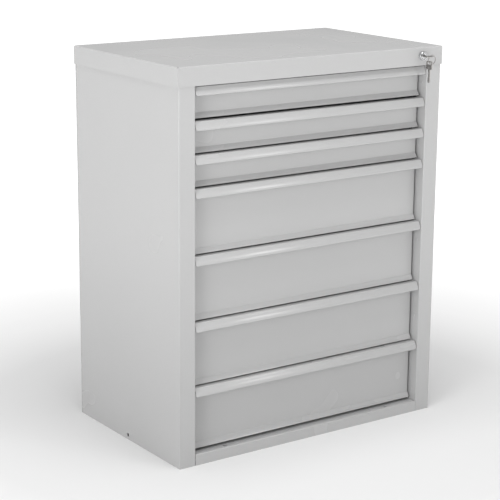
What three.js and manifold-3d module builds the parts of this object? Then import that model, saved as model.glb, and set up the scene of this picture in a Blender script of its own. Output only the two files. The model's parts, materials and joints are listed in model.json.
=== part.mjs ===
// Seven-drawer workshop cabinet in folded sheet steel, with a central lock.
// Millimetres. +X is to the right, +Y to the back and +Z up.
// The origin is under the middle of the whole outline, keys included, on the floor.

import * as THREE from 'three';
import { mergeVertices } from 'three/addons/utils/BufferGeometryUtils.js';
import Module from 'manifold-3d';

const wasm = await Module();
wasm.setup();

// ---------------------------------------------------------------- driving dimensions

const WIDTH = 730; // across the side panels
const DEPTH = 450; // front of the lid to the back of the lid
const HEIGHT = 900;
const SHEET = 1; // folded steel sheet
const FIT = 0.3; // gap left between fitted pieces

const LID_OVERHANG = 2.5; // each side of the body
const LID_RIM = 43;
const LID_RETURN = 14; // inward fold under the front rim

const POST_WIDTH = 42; // front face of each side panel
const POST_RETURN = 34; // fold that runs back beside the drawers
const REAR_FLANGE = 20;
const EDGE_RADIUS = 2.5; // outer bend of the vertical front edges

const BASE_HEIGHT = 26;
const BASE_FLANGE = 20;
const BASE_HOLE_RADIUS = 4.5;
const BASE_HOLE_INSET = 130; // from each side
const BASE_HOLE_DEPTH = 14; // behind the front
const SIDE_HOLE_DEPTH = 228;
const SIDE_HOLE_HEIGHT = 11;
const CORNER_RELIEF = 3;

const SHALLOW = 71.5;
const DEEP = 148;
const DRAWER_HEIGHTS = [SHALLOW, SHALLOW, SHALLOW, DEEP, DEEP, DEEP, DEEP];
const TOP_CLEARANCE = 2; // lid rim to the top drawer
const FIRST_GAP = 4; // under the top drawer
const DRAWER_GAP = 2.5; // under every other drawer

const FRONT_SIDE_GAP = 2.5; // lip end to post
const PANEL_SIDE_GAP = 4.5; // panel edge to post
const PANEL_DEPTH = 28; // flat panel behind the front plane
const LIP_HEIGHT = 19;
const LIP_LOW_DEPTH = 1.5;
const LIP_HIGH_DEPTH = 8;
const LIP_BULGE = 1.2;
const LIP_TOP_RADIUS = 3;
const LIP_SEGMENTS = 6;
const FLARE_HEIGHT = 12;
const FLARE_OUT = 8;
const CORNER_RADIUS = 5;

const BOX_HALF_WIDTH = 310;
const BOX_BACK_DEPTH = 430;
const BOX_BOTTOM_RISE = 5; // box floor above the bottom of its front
const BOX_TOP_DROP = 12; // box sides below the top of the front

const SLIDE_LENGTH = 380;
const SLIDE_START = 52;
const SLIDE_HEIGHT = 35;
const SLIDE_LIFT = 3; // slide above the box floor
const SLIDE_STEP = 2; // half-height lost by each inner member
const MEMBER_DEPTH = 9;

const UPRIGHT_WIDTH = 25;
const UPRIGHT_SHEET = 1.2;
const UPRIGHT_TOP = 850;
const REAR_UPRIGHT_DEPTH = 405;

const LOCK_X = 305;
const LOCK_Z = 880;
const LOCK_PROUD = 8;
const BARREL_HEAD_RADIUS = 10.5;
const BARREL_RADIUS = 9.2;
const BARREL_BACK = 21;
const CYLINDER_RADIUS = 7;
const NUT_RADIUS = 14;
const NUT_THICKNESS = 5;
const ROUND_SEGMENTS = 32;

const CAM_THICKNESS = 2;
const CAM_HUB_RADIUS = 9;
const CAM_TIP_RADIUS = 4.5;
const CAM_THROW = 11; // lock axis to drive pin
const CAM_ANGLE = Math.PI / 4; // above level at rest, and as far below when locked
const PIN_RADIUS = 2;
const PIN_LENGTH = 5.2;

const BAR_X = 329;
const BAR_THICKNESS = 2;
const BAR_FRONT = 8;
const BAR_BACK = 24;
const BAR_BOTTOM = 40;
const HEAD_HEIGHT = 13.5;
const HEAD_DEPTH = 24.6;
const HEAD_INNER_X = 308;
const FINGER_INNER_X = 312;
const FINGER_DEPTH = 46;
const FINGER_HEIGHT = 7;
const SLOT_CLEARANCE = 0.65; // above and below the drive pin
const TAB_OUT = 11; // catch tab beyond the box side
const TAB_HEIGHT = 7.5;
const TAB_DEPTH = 47;
const TAB_THICKNESS = 2;
const GUIDE_HEIGHTS = { lower: 150, upper: 620 };
const GUIDE_DROP = 15;
const GUIDE_DEPTHS = { front: 4, back: 30 };
const GUIDE_SHELF = 3; // shelf on the inner side of the bar
const GUIDE_THICKNESS = 2;
const GUIDE_SLACK = 0.1; // around the bar, beyond the usual fit

const KEY_THICKNESS = 2.2;
const BOW_WIDTH = 20;
const BOW_LENGTH = 20;
const BOW_RADIUS = 4;
const BOW_BAR = 3.5; // metal around the slot in the bow
const BOW_SLOT_LENGTH = 4.5;
const KEY_NECK = 4; // blade showing between the lock and the bow
const BLADE_WIDTH = 7;
const BLADE_LENGTH = 26;
const KEYWAY_GAP = 0.35;
const RING_RADIUS = 10.5;
const RING_RADIAL = 1.6;
const RING_AXIAL = 2;
const RING_SEGMENTS = 24;
const RING_DROP = 7.3; // ring centre below the bow bar that it hangs on

// ---------------------------------------------------------------- derived places

const KEY_REACH = LOCK_PROUD + KEY_NECK + BOW_LENGTH;
const FRONT = (KEY_REACH - DEPTH) / 2; // Y of the front plane
const BACK = FRONT + DEPTH;
const BODY_FRONT = FRONT + SHEET + FIT; // front faces of the posts and the base rail
const BODY_BACK = BACK - 2 * (SHEET + FIT); // rear flanges, inside back panel and lid
const HALF = WIDTH / 2;
const OPENING_HALF = HALF - POST_WIDTH;
const OPENING_TOP = HEIGHT - LID_RIM;
const BODY_TOP = HEIGHT - SHEET - FIT;
const SLIDE_FACE = OPENING_HALF - FIT; // slides are screwed to the uprights here
const LOCK_TRAVEL = 2 * CAM_THROW * Math.sin(CAM_ANGLE);
const SLIDE_CENTRE = BOX_BOTTOM_RISE + SLIDE_LIFT + SLIDE_HEIGHT / 2;
const TAB_BOTTOM = SLIDE_CENTRE + SLIDE_HEIGHT / 2 + SHEET;
const FINGER_REST = TAB_BOTTOM + SHEET / 2 + LOCK_TRAVEL;
const RING_BAR_X = (BOW_WIDTH - BOW_BAR) / 2; // bow bar that carries the ring
const RING_Y = FRONT - KEY_REACH + BOW_BAR + BOW_SLOT_LENGTH / 2;

// Height of the bottom edge of each drawer front, from the top drawer down.
const drawerBottoms = [];
let drawerTop = OPENING_TOP - TOP_CLEARANCE;
DRAWER_HEIGHTS.forEach((height, index) => {
  drawerBottoms.push(drawerTop - height);
  drawerTop -= height + (index === 0 ? FIRST_GAP : DRAWER_GAP);
});

// ---------------------------------------------------------------- finishes

const finish = (color, roughness, metalness) => ({ color, roughness, metalness });
const PAINT = finish(0xc9c9c8, 0.42, 0.1);
const ZINC = finish(0xb4b8bb, 0.35, 0.9);
const CHROME = finish(0xe4e6e8, 0.08, 1);
const NICKEL = finish(0xb9b7b0, 0.25, 1);

// ---------------------------------------------------------------- solid helpers

// Turns a closed three.js geometry into a solid that can be joined and cut.
function solidOf(geometry) {
  const bare = geometry.index ? geometry.toNonIndexed() : geometry.clone();
  bare.deleteAttribute('normal');
  bare.deleteAttribute('uv');
  const merged = mergeVertices(bare, 1e-4);
  const vertProperties = new Float32Array(merged.attributes.position.array);
  const triVerts = new Uint32Array(merged.index.array);
  return new wasm.Manifold(new wasm.Mesh({ numProp: 3, vertProperties, triVerts }));
}

// Turns a solid back into a flat-shaded three.js geometry.
function geometryOf(solid) {
  const { vertProperties, triVerts } = solid.getMesh();
  const indexed = new THREE.BufferGeometry();
  indexed.setAttribute('position', new THREE.BufferAttribute(new Float32Array(vertProperties), 3));
  indexed.setIndex(new THREE.BufferAttribute(new Uint32Array(triVerts), 1));
  const geometry = indexed.toNonIndexed();
  geometry.computeVertexNormals();
  return geometry;
}

const join = (...solids) => solids.reduce((whole, piece) => whole.add(piece));
const cut = (solid, ...tools) => tools.reduce((rest, tool) => rest.subtract(tool), solid);

// Block between two X, two Y and two Z values.
function block([x0, x1], [y0, y1], [z0, z1]) {
  const geometry = new THREE.BoxGeometry(x1 - x0, y1 - y0, z1 - z0);
  geometry.translate((x0 + x1) / 2, (y0 + y1) / 2, (z0 + z1) / 2);
  return solidOf(geometry);
}

// Round bar along Y.
function rodY(radius, [y0, y1], x, z, segments = ROUND_SEGMENTS) {
  const geometry = new THREE.CylinderGeometry(radius, radius, y1 - y0, segments);
  geometry.translate(x, (y0 + y1) / 2, z);
  return solidOf(geometry);
}

// Round bar along X.
function rodX(radius, [x0, x1], y, z, segments = ROUND_SEGMENTS) {
  const geometry = new THREE.CylinderGeometry(radius, radius, x1 - x0, segments);
  geometry.rotateZ(Math.PI / 2);
  geometry.translate((x0 + x1) / 2, y, z);
  return solidOf(geometry);
}

// Round bar along Z.
function rodZ(radius, [z0, z1], x, y, segments = ROUND_SEGMENTS) {
  const geometry = new THREE.CylinderGeometry(radius, radius, z1 - z0, segments);
  geometry.rotateX(Math.PI / 2);
  geometry.translate(x, y, (z0 + z1) / 2);
  return solidOf(geometry);
}

// Outline drawn in X and Y, raised between two Z values.
function prismZ(shape, [z0, z1], curveSegments = LIP_SEGMENTS) {
  const geometry = new THREE.ExtrudeGeometry(shape, {
    depth: z1 - z0,
    bevelEnabled: false,
    curveSegments,
  });
  geometry.translate(0, 0, z0);
  return solidOf(geometry);
}

// Outline drawn in X and Z, deepened between two Y values.
function prismY(shape, [y0, y1], curveSegments = LIP_SEGMENTS) {
  const geometry = new THREE.ExtrudeGeometry(shape, {
    depth: y1 - y0,
    bevelEnabled: false,
    curveSegments,
  });
  geometry.rotateX(Math.PI / 2);
  geometry.translate(0, y1, 0);
  return solidOf(geometry);
}

// Outline drawn in Y and Z, widened between two X values.
function prismX(shape, [x0, x1], curveSegments = LIP_SEGMENTS) {
  const geometry = new THREE.ExtrudeGeometry(shape, {
    depth: x1 - x0,
    bevelEnabled: false,
    curveSegments,
  });
  geometry.rotateX(Math.PI / 2);
  geometry.rotateZ(Math.PI / 2);
  geometry.translate(x0, 0, 0);
  return solidOf(geometry);
}

// Rectangle with rounded corners, centred on the origin.
function roundedRectangle(width, height, radius) {
  const x = width / 2 - radius;
  const y = height / 2 - radius;
  const shape = new THREE.Shape();
  shape.absarc(x, y, radius, 0, Math.PI / 2);
  shape.absarc(-x, y, radius, Math.PI / 2, Math.PI);
  shape.absarc(-x, -y, radius, Math.PI, 1.5 * Math.PI);
  shape.absarc(x, -y, radius, 1.5 * Math.PI, 2 * Math.PI);
  shape.closePath();
  return shape;
}

// Closed outline of a bent sheet whose centre line passes through the given points.
function sheetOutline(points, thickness) {
  const half = thickness / 2;
  const offset = (side) => points.map((point, i) => {
    const before = points[Math.max(i - 1, 0)];
    const after = points[Math.min(i + 1, points.length - 1)];
    const into = point.clone().sub(before).normalize();
    const out = after.clone().sub(point).normalize();
    const along = into.add(out).normalize();
    const turn = i > 0 && i < points.length - 1 ? along.dot(out) : 1;
    const reach = (side * half) / turn;
    return new THREE.Vector2(point.x - along.y * reach, point.y + along.x * reach);
  });
  return new THREE.Shape([...offset(1), ...offset(-1).reverse()]);
}

// Cuts away everything outside a rounded lower corner, seen from the front.
function cornerCutter(halfWidth, bottom, [y0, y1]) {
  const cutters = [-1, 1].map((side) => {
    const x = side * (halfWidth - CORNER_RADIUS);
    const square = block(
      [Math.min(x, x + side * (CORNER_RADIUS + SHEET)), Math.max(x, x + side * (CORNER_RADIUS + SHEET))],
      [y0, y1],
      [bottom - SHEET, bottom + CORNER_RADIUS],
    );
    return cut(square, rodY(CORNER_RADIUS, [y0 - SHEET, y1 + SHEET], x, bottom + CORNER_RADIUS));
  });
  return join(...cutters);
}

// Named piece of the cabinet.
function piece(name, geometry, look) {
  const mesh = new THREE.Mesh(geometry, new THREE.MeshStandardMaterial(look));
  mesh.name = name;
  return mesh;
}

const solidPiece = (name, solid, look) => piece(name, geometryOf(solid), look);

// ---------------------------------------------------------------- carcass

// Side panel with its front post, the fold beside the drawers and a rear flange.
function sidePanel(side) {
  const outline = new THREE.Shape();
  outline.moveTo(OPENING_HALF, BODY_FRONT);
  outline.lineTo(HALF - EDGE_RADIUS, BODY_FRONT);
  outline.absarc(HALF - EDGE_RADIUS, BODY_FRONT + EDGE_RADIUS, EDGE_RADIUS, -Math.PI / 2, 0);
  outline.lineTo(HALF, BODY_BACK);
  outline.lineTo(HALF - REAR_FLANGE, BODY_BACK);
  outline.lineTo(HALF - REAR_FLANGE, BODY_BACK - SHEET);
  outline.lineTo(HALF - SHEET, BODY_BACK - SHEET);
  outline.lineTo(HALF - SHEET, BODY_FRONT + SHEET);
  outline.lineTo(OPENING_HALF + SHEET, BODY_FRONT + SHEET);
  outline.lineTo(OPENING_HALF + SHEET, BODY_FRONT + POST_RETURN);
  outline.lineTo(OPENING_HALF, BODY_FRONT + POST_RETURN);
  outline.closePath();
  const folded = prismZ(outline, [0, BODY_TOP]);
  const aboveOpening = block(
    [OPENING_HALF - SHEET, OPENING_HALF + SHEET + FIT],
    [BODY_FRONT + SHEET, BODY_FRONT + POST_RETURN + SHEET],
    [OPENING_TOP, HEIGHT],
  );
  const hole = rodX(BASE_HOLE_RADIUS, [HALF - 2 * SHEET, HALF + SHEET], FRONT + SIDE_HOLE_DEPTH, SIDE_HOLE_HEIGHT);
  const right = cut(folded, aboveOpening, hole);
  return side > 0 ? right : right.mirror([1, 0, 0]);
}

// Base: a folded tray turned upside down, whose front wall is the bottom rail.
function baseTray() {
  const wide = HALF - SHEET - FIT;
  const narrow = OPENING_HALF - FIT;
  const shoulder = BODY_FRONT + POST_RETURN + FIT;
  const rear = BODY_BACK - SHEET - FIT;
  const flange = BASE_FLANGE;
  const outer = join(
    block([-narrow, narrow], [BODY_FRONT, rear], [0, BASE_HEIGHT]),
    block([-wide, wide], [shoulder, rear], [0, BASE_HEIGHT]),
  );
  const hollow = join(
    block([SHEET - narrow, narrow - SHEET], [BODY_FRONT + SHEET, rear - SHEET], [SHEET, BASE_HEIGHT - SHEET]),
    block([SHEET - wide, wide - SHEET], [shoulder + SHEET, rear - SHEET], [SHEET, BASE_HEIGHT - SHEET]),
  );
  const mouth = block([flange - wide, wide - flange], [BODY_FRONT + flange, rear - flange], [-SHEET, 2 * SHEET]);
  const sideHole = rodX(
    BASE_HOLE_RADIUS, [-wide - SHEET, wide + SHEET], FRONT + SIDE_HOLE_DEPTH, SIDE_HOLE_HEIGHT,
  );
  const topHoles = [-1, 1].map((side) => rodZ(
    BASE_HOLE_RADIUS,
    [BASE_HEIGHT - 2 * SHEET, BASE_HEIGHT + SHEET],
    side * (HALF - BASE_HOLE_INSET),
    FRONT + BASE_HOLE_DEPTH,
  ));
  const reliefs = [-1, 1].map((side) => rodZ(
    CORNER_RELIEF, [BASE_HEIGHT - 2 * SHEET, BASE_HEIGHT + SHEET], side * narrow, BODY_FRONT + 2 * CORNER_RELIEF,
  ));
  return cut(outer, hollow, mouth, sideHole, ...topHoles, ...reliefs);
}

// Lid: a shallow tray that drops over the body, with the lock hole in its front rim.
function topLid() {
  const half = HALF + LID_OVERHANG;
  const shell = cut(
    block([-half, half], [FRONT, BACK], [OPENING_TOP, HEIGHT]),
    block([SHEET - half, half - SHEET], [FRONT + SHEET, BACK - SHEET], [OPENING_TOP - SHEET, HEIGHT - SHEET]),
  );
  const returnHalf = OPENING_HALF - 2 * FIT;
  const frontReturn = block(
    [-returnHalf, returnHalf], [FRONT + SHEET / 2, FRONT + LID_RETURN], [OPENING_TOP, OPENING_TOP + SHEET],
  );
  const lockHole = rodY(BARREL_RADIUS + FIT, [FRONT - SHEET, FRONT + 2 * SHEET], LOCK_X, LOCK_Z);
  return cut(join(shell, frontReturn), lockHole);
}

function backPanel() {
  const half = HALF - FIT;
  return block([-half, half], [BODY_BACK + FIT, BODY_BACK + FIT + SHEET], [0, BODY_TOP]);
}

// Channel that carries the slides, open towards the side panel.
function uprightOutline() {
  const inner = OPENING_HALF;
  const outer = HALF - SHEET - FIT;
  const wall = UPRIGHT_SHEET;
  return new THREE.Shape([
    new THREE.Vector2(inner, 0),
    new THREE.Vector2(outer, 0),
    new THREE.Vector2(outer, wall),
    new THREE.Vector2(inner + wall, wall),
    new THREE.Vector2(inner + wall, UPRIGHT_WIDTH - wall),
    new THREE.Vector2(outer, UPRIGHT_WIDTH - wall),
    new THREE.Vector2(outer, UPRIGHT_WIDTH),
    new THREE.Vector2(inner, UPRIGHT_WIDTH),
  ]);
}

const carcass = new THREE.Group();
carcass.add(solidPiece('left_side_panel', sidePanel(-1), PAINT));
carcass.add(solidPiece('right_side_panel', sidePanel(1), PAINT));
carcass.add(solidPiece('back_panel', backPanel(), PAINT));
carcass.add(solidPiece('base_tray', baseTray(), PAINT));
carcass.add(solidPiece('top_lid', topLid(), PAINT));

const upright = prismZ(uprightOutline(), [BASE_HEIGHT + FIT, UPRIGHT_TOP]);
const uprightDepths = { front: SLIDE_START, rear: REAR_UPRIGHT_DEPTH };
for (const [place, depth] of Object.entries(uprightDepths)) {
  const right = solidPiece(`upright_right_${place}`, upright, ZINC);
  right.position.y = FRONT + depth;
  const left = solidPiece(`upright_left_${place}`, upright, ZINC);
  left.rotation.z = Math.PI;
  left.position.y = FRONT + depth + UPRIGHT_WIDTH;
  carcass.add(right, left);
}

// ---------------------------------------------------------------- drawers

// Front sheet, bottom edge at Z = 0: flared foot, flat panel, top fold and curved pull lip.
function drawerFront(height) {
  const at = (depth, z) => new THREE.Vector2(FRONT + depth, z);
  const half = SHEET / 2;
  const low = at(LIP_LOW_DEPTH + half, height - LIP_HEIGHT);
  const high = at(LIP_HIGH_DEPTH + half, height - LIP_TOP_RADIUS);
  const across = high.clone().sub(low);
  const bulge = new THREE.Vector2(-across.y, across.x).normalize();
  const lip = Array.from({ length: LIP_SEGMENTS + 1 }, (_, i) => {
    const t = i / LIP_SEGMENTS;
    const out = 4 * LIP_BULGE * t * (1 - t);
    return low.clone().addScaledVector(across, t).addScaledVector(bulge, out);
  });
  const outline = sheetOutline([
    ...lip,
    at(LIP_HIGH_DEPTH + LIP_TOP_RADIUS, height - half),
    at(PANEL_DEPTH + half, height - half),
    at(PANEL_DEPTH + half, FLARE_HEIGHT),
    at(PANEL_DEPTH - FLARE_OUT + half, half),
  ], SHEET);
  const lipHalf = OPENING_HALF - FRONT_SIDE_GAP;
  const panelHalf = OPENING_HALF - PANEL_SIDE_GAP;
  const trims = [-1, 1].map((side) => block(
    side > 0 ? [panelHalf, lipHalf + SHEET] : [-lipHalf - SHEET, -panelHalf],
    [FRONT + PANEL_DEPTH - FLARE_OUT - SHEET, FRONT + PANEL_DEPTH + 2 * SHEET],
    [-SHEET, height - 2 * SHEET],
  ));
  const lipCorners = cornerCutter(lipHalf, height - LIP_HEIGHT - half, [FRONT - 2 * SHEET, FRONT + LIP_HIGH_DEPTH]);
  const footCorners = cornerCutter(
    panelHalf, 0, [FRONT + PANEL_DEPTH - FLARE_OUT - SHEET, FRONT + PANEL_DEPTH + 2 * SHEET],
  );
  return cut(prismX(outline, [-lipHalf, lipHalf]), ...trims, lipCorners, footCorners);
}

// One C-shaped member of a right-hand slide, its web at the given X and its open side
// facing the drawer when towards is -1, or the cabinet side when it is 1.
function slideMember(webX, halfHeight, towards) {
  const tip = webX + towards * MEMBER_DEPTH;
  const y = [FRONT + SLIDE_START, FRONT + SLIDE_START + SLIDE_LENGTH];
  const body = block([Math.min(webX, tip), Math.max(webX, tip)], y, [-halfHeight, halfHeight]);
  const inset = webX + towards * SHEET;
  const past = tip + towards * SHEET;
  const channel = block(
    [Math.min(inset, past), Math.max(inset, past)],
    [y[0] - SHEET, y[1] + SHEET],
    [SHEET - halfHeight, halfHeight - SHEET],
  );
  return cut(body, channel);
}

const OUTER_HALF = SLIDE_HEIGHT / 2;
const MIDDLE_HALF = OUTER_HALF - SLIDE_STEP;
const INNER_HALF = MIDDLE_HALF - SLIDE_STEP - SHEET / 2;
const MIDDLE_WEB = SLIDE_FACE - SLIDE_STEP;
const outerMember = slideMember(SLIDE_FACE, OUTER_HALF, -1);
const middleMember = slideMember(MIDDLE_WEB, MIDDLE_HALF, -1).intersect(block(
  [BOX_HALF_WIDTH + 2 * SHEET, SLIDE_FACE], [FRONT, BACK], [-OUTER_HALF, OUTER_HALF],
));
const innerMember = slideMember(BOX_HALF_WIDTH - FIT, INNER_HALF, 1).intersect(block(
  [BOX_HALF_WIDTH - SHEET, MIDDLE_WEB - 2 * SHEET], [FRONT, BACK], [-OUTER_HALF, OUTER_HALF],
));

// Tray behind the front, with the inner slide members and the lock's catch tab on it.
function drawerBox(height) {
  const wall = SHEET;
  const half = BOX_HALF_WIDTH;
  const front = FRONT + PANEL_DEPTH + SHEET + FIT;
  const back = FRONT + BOX_BACK_DEPTH;
  const floor = BOX_BOTTOM_RISE;
  const rim = height - BOX_TOP_DROP;
  const tray = cut(
    block([-half, half], [front, back], [floor, rim]),
    block([wall - half, half - wall], [front + wall, back - wall], [floor + wall, rim + wall]),
  );
  const railRight = innerMember.translate([0, 0, SLIDE_CENTRE]);
  const railLeft = railRight.mirror([1, 0, 0]);
  const tab = block(
    [half - wall / 2, half + TAB_OUT],
    [FRONT + TAB_DEPTH, FRONT + TAB_DEPTH + TAB_THICKNESS],
    [TAB_BOTTOM, TAB_BOTTOM + TAB_HEIGHT],
  );
  return join(tray, railRight, railLeft, tab);
}

// Slides run the same way on both sides, so the left-hand ones are turned half round.
function placeSlides(group, name, solid) {
  const turnY = 2 * FRONT + 2 * SLIDE_START + SLIDE_LENGTH;
  const right = solidPiece(`${name}_right`, solid, ZINC);
  right.position.z = SLIDE_CENTRE;
  const left = solidPiece(`${name}_left`, solid, ZINC);
  left.rotation.z = Math.PI;
  left.position.set(0, turnY, SLIDE_CENTRE);
  group.add(right, left);
}

const drawers = new THREE.Group();
const fronts = new Map([SHALLOW, DEEP].map((height) => [height, drawerFront(height)]));
const boxes = new Map([SHALLOW, DEEP].map((height) => [height, drawerBox(height)]));
DRAWER_HEIGHTS.forEach((height, index) => {
  const name = `drawer_${index + 1}`;
  const drawer = new THREE.Group();
  drawer.position.z = drawerBottoms[index];
  drawer.add(solidPiece(`${name}_front`, fronts.get(height), PAINT));
  drawer.add(solidPiece(`${name}_box`, boxes.get(height), PAINT));
  placeSlides(drawer, `${name}_slide_outer`, outerMember);
  placeSlides(drawer, `${name}_slide_middle`, middleMember);
  drawers.add(drawer);
});

// ---------------------------------------------------------------- lock

// Outline of a cam: a round hub and a round tip joined by tangents, tip along +X.
function camOutline() {
  const lean = Math.acos((CAM_HUB_RADIUS - CAM_TIP_RADIUS) / CAM_THROW);
  const shape = new THREE.Shape();
  shape.absarc(0, 0, CAM_HUB_RADIUS, lean, 2 * Math.PI - lean);
  shape.absarc(CAM_THROW, 0, CAM_TIP_RADIUS, -lean, lean);
  shape.closePath();
  return shape;
}

function lockBarrel() {
  return cut(
    join(
      rodY(BARREL_HEAD_RADIUS, [-LOCK_PROUD, -FIT], 0, 0),
      rodY(BARREL_RADIUS, [-1, BARREL_BACK], 0, 0),
    ),
    rodY(CYLINDER_RADIUS + FIT, [-LOCK_PROUD - 1, BARREL_BACK + 1], 0, 0),
  );
}

function lockNut() {
  const y = [SHEET + FIT, SHEET + FIT + NUT_THICKNESS];
  const hexagon = rodY(NUT_RADIUS, y, 0, 0, 6);
  return cut(hexagon, rodY(BARREL_RADIUS + FIT, [y[0] - 1, y[1] + 1], 0, 0));
}

function lockCylinder() {
  const keyway = block(
    [-BLADE_WIDTH / 2 - KEYWAY_GAP, BLADE_WIDTH / 2 + KEYWAY_GAP],
    [-LOCK_PROUD - 1, BLADE_LENGTH - LOCK_PROUD],
    [-KEY_THICKNESS / 2 - KEYWAY_GAP, KEY_THICKNESS / 2 + KEYWAY_GAP],
  );
  return cut(rodY(CYLINDER_RADIUS, [-LOCK_PROUD, BARREL_BACK], 0, 0), keyway);
}

// Cam on the back of the cylinder, with the pin that drives the lock bar.
function lockCam() {
  const back = BARREL_BACK + FIT + CAM_THICKNESS;
  return join(
    prismY(camOutline(), [BARREL_BACK + FIT, back]),
    rodY(PIN_RADIUS, [back - SHEET, back + PIN_LENGTH], CAM_THROW, 0),
  );
}

// Key lying level in the lock, its bow towards the front with a slot for the ring.
function lockKey() {
  const bow = roundedRectangle(BOW_WIDTH, BOW_LENGTH, BOW_RADIUS);
  const slot = roundedRectangle(BOW_WIDTH - 2 * BOW_BAR, BOW_SLOT_LENGTH, 1);
  const z = [-KEY_THICKNESS / 2, KEY_THICKNESS / 2];
  const bowMiddle = -LOCK_PROUD - KEY_NECK - BOW_LENGTH / 2;
  const slotShift = (BOW_SLOT_LENGTH - BOW_LENGTH) / 2 + BOW_BAR;
  const plate = prismZ(bow, z).translate([0, bowMiddle, 0]);
  const slotTool = prismZ(slot, [z[0] - 1, z[1] + 1]).translate([0, bowMiddle + slotShift, 0]);
  const bladeEnd = BLADE_LENGTH - KEY_NECK - LOCK_PROUD - SHEET;
  const blade = block([-BLADE_WIDTH / 2, BLADE_WIDTH / 2], [bowMiddle + BOW_LENGTH / 2 - 1, bladeEnd], z);
  return cut(join(plate, blade), slotTool);
}

// Ring turned about Y, its wire slightly flattened.
function keyRing() {
  const corners = 8;
  const wire = Array.from({ length: corners + 1 }, (_, i) => {
    const angle = (2 * Math.PI * (i % corners)) / corners;
    return new THREE.Vector2(
      RING_RADIUS + (RING_RADIAL / 2) * Math.cos(angle),
      (RING_AXIAL / 2) * Math.sin(angle),
    );
  });
  return new THREE.LatheGeometry(wire, RING_SEGMENTS);
}

const lock = new THREE.Group();
lock.position.set(LOCK_X, FRONT, LOCK_Z);
lock.add(solidPiece('lock_barrel', lockBarrel(), CHROME));
lock.add(solidPiece('lock_nut', lockNut(), ZINC));
lock.add(solidPiece('lock_cylinder', lockCylinder(), CHROME));
lock.add(solidPiece('lock_key', lockKey(), NICKEL));
const cam = solidPiece('lock_cam', lockCam(), ZINC);
cam.rotation.y = -CAM_ANGLE;
lock.add(cam);
const ring = piece('key_ring', keyRing(), NICKEL);
ring.position.set(RING_BAR_X, RING_Y - FRONT, -RING_DROP);
lock.add(ring);

// Bar inside the right-hand post. The cam pin drives its head; a finger above each
// slide drops in front of the drawer's catch tab when the bar is down.
function lockBar() {
  const x = [BAR_X, BAR_X + BAR_THICKNESS];
  const pinTop = LOCK_Z + CAM_THROW * Math.sin(CAM_ANGLE);
  const head = [pinTop - HEAD_HEIGHT / 2, pinTop + HEAD_HEIGHT / 2];
  const headBack = FRONT + HEAD_DEPTH + BAR_THICKNESS;
  const strip = block(x, [FRONT + BAR_FRONT, FRONT + BAR_BACK], [BAR_BOTTOM, head[1]]);
  const gusset = block(x, [FRONT + BAR_FRONT, headBack], head);
  const headPlate = block([HEAD_INNER_X, x[1]], [FRONT + HEAD_DEPTH, headBack], head);
  const slotLow = LOCK_X + CAM_THROW * Math.cos(CAM_ANGLE) - PIN_RADIUS - SLOT_CLEARANCE;
  const slotHigh = LOCK_X + CAM_THROW + PIN_RADIUS + SLOT_CLEARANCE;
  const slotHalf = PIN_RADIUS + SLOT_CLEARANCE;
  const slot = block(
    [slotLow, slotHigh], [FRONT + HEAD_DEPTH - 1, headBack + 1], [pinTop - slotHalf, pinTop + slotHalf],
  );
  const fingers = drawerBottoms.map((bottom) => {
    const z = [bottom + FINGER_REST, bottom + FINGER_REST + FINGER_HEIGHT];
    const arm = block(x, [FRONT + BAR_BACK - 1, FRONT + FINGER_DEPTH], z);
    const nose = block([FINGER_INNER_X, x[1]], [FRONT + FINGER_DEPTH - BAR_THICKNESS, FRONT + FINGER_DEPTH], z);
    return join(arm, nose);
  });
  return cut(join(strip, gusset, headPlate, ...fingers), slot);
}

// Angle bracket on the side panel, slotted for the lock bar.
function barGuide() {
  const outer = HALF - SHEET - FIT;
  const slack = FIT + GUIDE_SLACK;
  const y = [FRONT + GUIDE_DEPTHS.front, FRONT + GUIDE_DEPTHS.back];
  const shelf = block([BAR_X - GUIDE_SHELF, outer], y, [0, GUIDE_THICKNESS]);
  const leg = block([outer - GUIDE_THICKNESS, outer], y, [-GUIDE_DROP, SHEET]);
  const slot = block(
    [BAR_X - slack, BAR_X + BAR_THICKNESS + slack],
    [FRONT + BAR_FRONT - slack, FRONT + BAR_BACK + slack],
    [-SHEET, GUIDE_THICKNESS + SHEET],
  );
  return cut(join(shelf, leg), slot);
}

const lockBarGroup = new THREE.Group();
lockBarGroup.add(solidPiece('lock_bar', lockBar(), ZINC));
const guide = barGuide();
for (const [place, z] of Object.entries(GUIDE_HEIGHTS)) {
  const bracket = solidPiece(`lock_bar_guide_${place}`, guide, ZINC);
  bracket.position.z = z;
  lockBarGroup.add(bracket);
}

const cabinet = new THREE.Group();
cabinet.add(carcass, drawers, lock, lockBarGroup);

export default cabinet;
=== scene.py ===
"""Looks of a seven-drawer steel workshop cabinet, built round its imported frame.

Everything is in metres in the frame's own axes: X to the right, Y to the back, Z up.
"""

import json
import logging
import math
from collections.abc import Callable, Iterable, Sequence
from dataclasses import dataclass, field
from enum import Enum

import bmesh
import bpy
from mathutils import Matrix, Vector

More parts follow.
